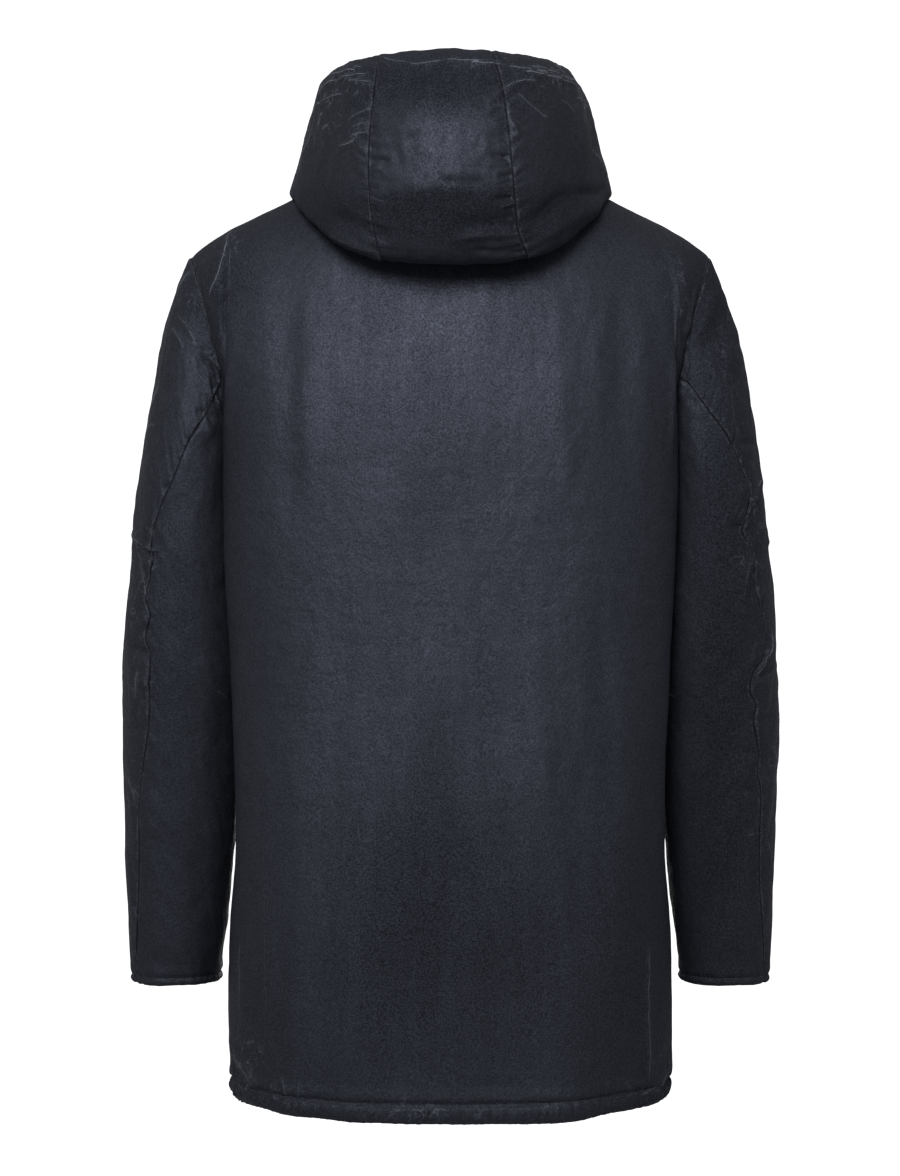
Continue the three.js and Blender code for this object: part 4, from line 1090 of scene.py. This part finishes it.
class Finish:
    """A material whose Principled shader is fed by nodes that are added one by one."""

    def __init__(self, name, **constants):
        self.material = bpy.data.materials.new(name)
        self.material.use_nodes = True
        self.tree = self.material.node_tree
        self.shader = self.tree.nodes["Principled BSDF"]
        self.place = self.add("ShaderNodeTexCoord", {}, "Object")
        self.cloth = self.add("ShaderNodeTexCoord", {}, "UV")
        for key, value in constants.items():
            self.shader.inputs[key.replace("_", " ")].default_value = value

    def add(self, kind, inputs, output=0, **settings):
        made = self.tree.nodes.new(kind)
        for key, value in settings.items():
            setattr(made, key, value)
        for key, value in inputs.items():
            if isinstance(value, bpy.types.NodeSocket):
                self.tree.links.new(value, made.inputs[key])
            else:
                made.inputs[key].default_value = value
        return made.outputs[output]

    def feed(self, socket, value):
        self.tree.links.new(value, self.shader.inputs[socket])

    def math(self, operation, first, *others):
        """One operation on a value, or carried from the left through several."""
        if not others:
            return self.add("ShaderNodeMath", {0: first}, operation=operation)
        for other in others:
            first = self.add("ShaderNodeMath", {0: first, 1: other}, operation=operation)
        return first

    def attribute(self, name):
        return self.add("ShaderNodeAttribute", {}, "Fac", attribute_name=name)

    def threads(self):
        """The lengths along the cloth's weft and warp, in metres."""
        return [self.add("ShaderNodeSeparateXYZ", {0: self.cloth}, k) for k in range(2)]

    def noise(self, size, detail=2.0, rough=0.5, stretch=(1, 1, 1)):
        """Noise with features of about this size, in metres, longer along the stretched axes."""
        vector = self.place
        if stretch != (1, 1, 1):
            scale = tuple(1 / s for s in stretch)
            vector = self.add("ShaderNodeMapping", {"Vector": vector, "Scale": scale})
        inputs = {"Vector": vector, "Scale": 1 / size, "Detail": detail, "Roughness": rough}
        return self.add("ShaderNodeTexNoise", inputs)

    def spread(self, value, low, high, to_low=0.0, to_high=1.0):
        inputs = {0: value, 1: low, 2: high, 3: to_low, 4: to_high}
        return self.add("ShaderNodeMapRange", inputs, clamp=True, interpolation_type="SMOOTHSTEP")

    def blend(self, factor, a, b):
        a, b = (c if isinstance(c, bpy.types.NodeSocket) else (*c, 1.0) for c in (a, b))
        return self.add("ShaderNodeMix", {0: factor, 6: a, 7: b}, 2, data_type="RGBA")

    def bump(self, height, distance, normal=None):
        """A bump of this height in metres. It is fed by what the last one gave."""
        inputs = {"Height": height, "Distance": distance, "Strength": 1.0}
        if normal is not None:
            inputs["Normal"] = normal
        return self.add("ShaderNodeBump", inputs)


def kept(make):
    """A material is made once and then used again."""

    def found():
        name = f"{make.__name__}_finish"
        return bpy.data.materials.get(name) or make(name, bpy.context.scene.jacket_colours)

    return found


def shade(colour, by):
    return tuple(c * by for c in colour)


# The sizes of the waxed cotton's patterns, the heights of its bumps and the pitch of its weave, in
# metres, and how many crazed cells there are to a metre and how far their sides are bent
WAX = {
    "speckle": 0.0014, "grain": 0.0046, "lumps": 0.007, "drips": 0.012, "mottle": 0.014, "stray": 0.02,
    "bloom": 0.11,
}
BUMP = {"weave": 0.00003, "speckle": 0.00022, "lumps": 0.0007}
WEAVE = 0.0008
CELLS, CELL_BEND = 90.0, 0.009
# The tape's twill: the width of one line of it in metres, and its slope
TWILL, TWILL_SLOPE = 0.0011, 0.7
# How far a crack strays to both sides of its crease, in millimetres
STRAYS = 1.7


@kept
def waxed_cotton(name, colours):
    f = Finish(name, Specular_IOR_Level=0.55, Specular_Tint=(0.68, 0.75, 1.0, 1.0))
    fine, grain = f.noise(WAX["speckle"], 2.0, 0.6), f.noise(WAX["grain"], 2.0, 0.6)
    mottle, bloom = f.noise(WAX["mottle"], 3.0, 0.62), f.noise(WAX["bloom"], 2.0, 0.5)
    drips = f.noise(WAX["drips"], 2.0, 0.5, (1, 1, 9))
    seam, matt, light = (f.attribute(key) for key in ("seam", "matt", "crease_light"))

    # The speckled cloth, darkened with dull wax and painted shade in the listed spots, and with painted
    # shade in the crevice at each seam
    speckle = f.spread(fine, 0.42, 0.62)
    colour = f.blend(f.spread(mottle, 0.32, 0.7), shade(colours.cloth, 0.78), shade(colours.cloth, 1.25))
    colour = f.blend(f.math("MULTIPLY", speckle, 0.6), colour, shade(colours.cloth, 3.0))
    # Painted shade and dull wax: the colour falls towards a tenth of the cloth's in the spots, most of them
    # where the light falls off
    colour = f.blend(f.math("MULTIPLY", matt, 0.9), colour, shade(colours.cloth, 0.1))
    colour = f.blend(f.math("MULTIPLY", speckle, 0.22), colour, shade(colours.cloth, 4.0))
    # Painted shade in the crevice where two pieces meet: the cloth nearly black within a millimetre of each
    # seam
    colour = f.blend(f.spread(seam, 0.3, 0.9), shade(colours.cloth, 0.1), colour)

    # Cracks along the creases, scuffs beside them, crazing in cells and wear on the seams' ridges
    stray = f.math("MULTIPLY", f.noise(WAX["stray"], 1.0), 2 * STRAYS)
    line = f.math("ABSOLUTE", f.math("ADD", stray, f.attribute("crease_line"), -STRAYS))
    broken = f.spread(grain, 0.32, 0.46)
    crack = f.math("MULTIPLY", f.spread(line, 0.12, 0.5, 1.0, 0.0), light, broken)
    scuff = f.math("MULTIPLY", f.spread(line, 0.8, 4.5, 0.16, 0.0), light, speckle)
    bent = f.add("ShaderNodeTexNoise", {"Vector": f.place, "Scale": CELLS, "Detail": 2.0}, "Color")
    bent = f.add("ShaderNodeVectorMath", {0: bent, "Scale": CELL_BEND}, operation="SCALE")
    bent = f.add("ShaderNodeVectorMath", {0: f.place, 1: bent}, operation="ADD")
    cells = {"Vector": bent, "Scale": CELLS}
    gap = f.add("ShaderNodeTexVoronoi", cells, "Distance", feature="DISTANCE_TO_EDGE")
    gap = f.spread(gap, 0.02, 0.07, 1.0, 0.0)
    craze = f.math("MULTIPLY", gap, f.attribute("crumple"), f.spread(mottle, 0.5, 0.6), 0.5)
    ridge = f.math("MULTIPLY", f.spread(seam, 1.5, 2.2), f.spread(seam, 2.4, 4.0, 0.2, 0.0))
    ridge = f.math("MULTIPLY", ridge, f.spread(grain, 0.5, 0.6))
    worn = f.math("MAXIMUM", crack, scuff, craze, ridge)
    f.feed("Base Color", f.blend(worn, colour, tuple(colours.cracked)))

    # Rougher in the mottle and speckle, in the spots of dull wax and painted shade, and at the stitching
    gloss = f.math("ADD", f.math("MULTIPLY", bloom, 0.5), f.math("MULTIPLY", drips, 0.5))
    rough = f.math(
        "ADD",
        f.spread(gloss, 0.38, 0.62, 0.46, 0.56),
        f.math("MULTIPLY", mottle, 0.08),
        f.spread(fine, 0.36, 0.64, 0.11, -0.11),
        f.spread(matt, 0.0, 1.0, 0.0, 0.38),
        f.spread(seam, 0.3, 0.9, 0.4, 0.0),
    )
    f.feed("Roughness", rough)
    weft, warp = (f.math("SINE", f.math("MULTIPLY", t, 2 * np.pi / WEAVE)) for t in f.threads())
    normal = f.bump(f.math("MULTIPLY", weft, warp), BUMP["weave"])
    normal = f.bump(fine, BUMP["speckle"], normal)
    f.feed("Normal", f.bump(f.noise(WAX["lumps"], 3.0, 0.6), BUMP["lumps"], normal))
    return f.material


@kept
def sewing_thread(name, colours):
    f = Finish(name, Roughness=0.6, Sheen_Weight=0.2)
    twist = f.add("ShaderNodeTexWave", {"Vector": f.place, "Scale": 900.0, "Distortion": 2.0}, "Fac")
    f.feed("Base Color", f.blend(twist, shade(colours.thread, 0.7), shade(colours.thread, 1.3)))
    f.feed("Normal", f.bump(twist, 0.0001))
    return f.material


@kept
def zip_tape(name, colours):
    f = Finish(name, Roughness=0.85, Sheen_Weight=0.15)
    weft, warp = f.threads()
    slope = f.math("ADD", weft, f.math("MULTIPLY", warp, TWILL_SLOPE))
    twill = f.math("SINE", f.math("MULTIPLY", slope, 2 * np.pi / TWILL))
    tone = f.math("ADD", f.spread(twill, -1.0, 1.0, 0.0, 0.6), f.math("MULTIPLY", f.noise(0.003), 0.4))
    f.feed("Base Color", f.blend(tone, shade(colours.tape, 0.6), shade(colours.tape, 1.5)))
    f.feed("Normal", f.bump(twill, 0.0001))
    return f.material


@kept
def zip_teeth(name, colours):
    f = Finish(name, Roughness=0.4)
    scuffs = f.noise(0.004, 3.0, 0.6)
    f.feed("Base Color", f.blend(f.spread(scuffs, 0.4, 0.7), colours.teeth, shade(colours.teeth, 1.8)))
    f.feed("Roughness", f.spread(scuffs, 0.3, 0.7, 0.34, 0.55))
    return f.material


@kept
def dark_nickel(name, colours):
    f = Finish(name, Metallic=1.0)
    brushed = f.noise(0.0012, 3.0, 0.6, (1, 1, 8))
    rubbed = f.spread(f.noise(0.006, 3.0, 0.6), 0.45, 0.7)
    f.feed("Base Color", f.blend(rubbed, colours.metal, shade(colours.metal, 1.6)))
    f.feed("Roughness", f.spread(brushed, 0.3, 0.7, 0.26, 0.44))
    f.feed("Normal", f.bump(brushed, 0.00004))
    return f.material


@kept
def studio_paper(name, colours):
    f = Finish(name, Emission_Color=(1.0, 1.0, 1.0, 1.0), Emission_Strength=colours.glow)
    fibre = f.noise(0.02, 3.0, 0.6)
    f.feed("Base Color", f.blend(fibre, shade(colours.paper, 0.985), colours.paper))
    f.feed("Roughness", f.spread(fibre, 0.3, 0.7, 0.85, 0.95))
    return f.material


# Studio

FLOOR = {"z": -1500, "flat": 5600, "round": 1500, "wall": 5200}
LAMPS = {  # place, what it is aimed at, size, spread in degrees, share of the power
    "key": ((380, 2600, 1130), (0, 100, -190), 1500, 44, 1.0),
    "front": ((0, -3000, -100), (0, -100, -380), 2200, 90, 1.0),
    "over": ((300, 700, 2400), (0, 0, -300), 1800, 100, 0.06),
}


def make_studio():
    scene = bpy.context.scene
    studio = scene.jacket_studio
    turn = np.linspace(0, 2 * np.pi, 97)
    bend = np.linspace(0, np.pi / 2, 17)
    reach = np.concatenate([[0, 1500, 3500], FLOOR["flat"] + FLOOR["round"] * np.sin(bend)])
    rise = np.concatenate([[0, 0, 0], FLOOR["round"] * (1 - np.cos(bend))])
    reach, rise = np.append(reach, reach[-1]), np.append(rise, FLOOR["wall"])
    r, t = np.meshgrid(reach, turn)
    z = np.broadcast_to(rise, r.shape) + FLOOR["z"]
    verts = points(r * np.cos(t), r * np.sin(t), z)
    floor = mesh_of("floor", verts.reshape(-1, 3), [grid_faces(*r.shape, 0, True)])
    floor.data.materials.append(studio_paper())
    floor.visible_diffuse = floor.visible_glossy = False
    world = bpy.data.worlds.new("studio")
    world.use_nodes = True
    world.node_tree.nodes["Background"].inputs[0].default_value = (0.96, 0.98, 1.0, 1.0)
    world.node_tree.nodes["Background"].inputs[1].default_value = studio.fill
    scene.world = world
    for name, (place, target, size, spread, share) in LAMPS.items():
        light = bpy.data.lights.new(name, "AREA")
        light.shape, light.size, light.energy = "DISK", size * MM, studio.power * share
        light.spread = np.radians(spread)
        lamp = bpy.data.objects.new(name, light)
        lamp.location = Vector(place) * MM
        lamp.rotation_euler = (Vector(target) - Vector(place)).to_track_quat("-Z", "Y").to_euler()
        scene.collection.objects.link(lamp)
    camera = bpy.data.objects.new("camera", bpy.data.cameras.new("camera"))
    x = (PHOTO["middle_x"] - PHOTO["wide"] / 2) * PHOTO["pixel"]
    camera.location = Vector((-x, CAMERA["away"], CAMERA["z"])) * MM
    camera.rotation_euler = (np.pi / 2, 0, np.pi)
    camera.data.sensor_fit, camera.data.sensor_width = "AUTO", CAMERA["sensor"]
    camera.data.lens = CAMERA["sensor"] * CAMERA["away"] / (PHOTO["high"] * PHOTO["pixel"])
    scene.collection.objects.link(camera)
    scene.camera = camera
    scene.view_settings.view_transform = "Standard"


# What a user sets and runs


def length(name, description, default, low=0.0):
    return FloatProperty(
        name=name, description=description, default=default, min=low, precision=4, unit="LENGTH"
    )


def colour(name, description, default):
    return FloatVectorProperty(
        name=name, description=description, default=default, subtype="COLOR", size=3, min=0.0, max=1.0
    )


def amount(name, description, default):
    return FloatProperty(
        name=name, description=description, default=default, min=0.0, soft_max=1.0, subtype="FACTOR"
    )


class JacketCloth(bpy.types.PropertyGroup):
    wall: length("Thickness", "Cloth, wadding and lining together", 0.003, 0.001)
    swell: length("Padding", "How far the padding swells away from the seams", 0.0007)
    groove: length("Groove", "How far from a seam the padding reaches its height", 0.0023, 0.001)


class JacketSewing(bpy.types.PropertyGroup):
    pitch: length("Pitch", "From one stitch to the next", 0.0036, 0.001)
    stitch: length("Stitch", "Length of a stitch", 0.0028, 0.0005)
    thread: length("Thread", "Thickness of the thread", 0.0006, 0.0001)


class JacketZip(bpy.types.PropertyGroup):
    tape: length("Tape", "Thickness of the tape", 0.001, 0.0003)
    pitch: length("Tooth pitch", "From one tooth to the next, on the other side", 0.0014, 0.0008)


class JacketColours(bpy.types.PropertyGroup):
    cloth: colour("Waxed cotton", "The cloth, a dark navy grey", (0.0096, 0.0099, 0.0128))
    cracked: colour("Cracked wax", "Where the wax has cracked or rubbed off", (0.15, 0.16, 0.19))
    thread: colour("Thread", "The sewing", (0.026, 0.027, 0.033))
    tape: colour("Zip tape", "The zip's woven tape", (0.0085, 0.009, 0.011))
    teeth: colour("Zip teeth", "The zip's moulded teeth", (0.012, 0.012, 0.014))
    metal: colour("Nickel", "The slider and its pull", (0.16, 0.16, 0.165))
    paper: colour("Paper", "The studio's floor and walls", (0.8, 0.8, 0.8))
    glow: amount("Glow", "How bright the paper is of itself", 1.0)


class JacketStudio(bpy.types.PropertyGroup):
    power: FloatProperty(name="Lamps", description="Power of the main lamp", default=6.3, unit="POWER")
    fill: amount("Fill", "Strength of the light from all round", 0.25)


class JACKET_OT_body(bpy.types.Operator):
    """Makes the back and the two fronts"""

    bl_idname = "jacket.body"
    bl_label = "Body"

    def execute(self, context):
        make_back()
        make_front("left", 1)
        make_front("right", -1)
        return {"FINISHED"}


class JACKET_OT_sleeves(bpy.types.Operator):
    """Makes the top and under pieces of both sleeves"""

    bl_idname = "jacket.sleeves"
    bl_label = "Sleeves"

    def execute(self, context):
        for name, side in (("left", 1), ("right", -1)):
            make_sleeve(name, side, False)
            make_sleeve(name, side, True)
        return {"FINISHED"}


class JACKET_OT_hood(bpy.types.Operator):
    """Makes the hood's centre panel and its two side panels"""

    bl_idname = "jacket.hood"
    bl_label = "Hood"

    def execute(self, context):
        make_hood("hood_centre", 0)
        make_hood("hood_side_left", 1)
        make_hood("hood_side_right", -1)
        return {"FINISHED"}


class JACKET_OT_zip(bpy.types.Operator):
    """Makes the zip's tape and teeth, and finishes its slider and pull"""

    bl_idname = "jacket.zip"
    bl_label = "Zip"

    def execute(self, context):
        make_zip()
        return {"FINISHED"}


class JACKET_OT_studio(bpy.types.Operator):
    """Makes the floor, the lights and the camera"""

    bl_idname = "jacket.studio"
    bl_label = "Studio"

    def execute(self, context):
        make_studio()
        return {"FINISHED"}


OPERATORS = (JACKET_OT_body, JACKET_OT_sleeves, JACKET_OT_hood, JACKET_OT_zip, JACKET_OT_studio)
SETTINGS = {
    "jacket_cloth": JacketCloth,
    "jacket_sewing": JacketSewing,
    "jacket_zip": JacketZip,
    "jacket_colours": JacketColours,
    "jacket_studio": JacketStudio,
}


class JACKET_PT_panel(bpy.types.Panel):
    """Lists the jacket's sizes, colours and pieces"""

    bl_label = "Jacket"
    bl_space_type = "VIEW_3D"
    bl_region_type = "UI"
    bl_category = "Jacket"

    def draw(self, context):
        for name, group in SETTINGS.items():
            box = self.layout.box()
            for setting in group.__annotations__:
                box.prop(getattr(context.scene, name), setting)
        for operator in OPERATORS:
            self.layout.operator(operator.bl_idname)


def register():
    for made in (*SETTINGS.values(), *OPERATORS, JACKET_PT_panel):
        bpy.utils.register_class(made)
    for name, group in SETTINGS.items():
        setattr(bpy.types.Scene, name, PointerProperty(type=group))


def unregister():
    for name in SETTINGS:
        delattr(bpy.types.Scene, name)
    for made in reversed((*SETTINGS.values(), *OPERATORS, JACKET_PT_panel)):
        bpy.utils.unregister_class(made)


def main():
    register()
    bpy.ops.jacket.body()
    bpy.ops.jacket.sleeves()
    bpy.ops.jacket.hood()
    bpy.ops.jacket.zip()
    bpy.ops.jacket.studio()


if __name__ == "__main__":
    main()
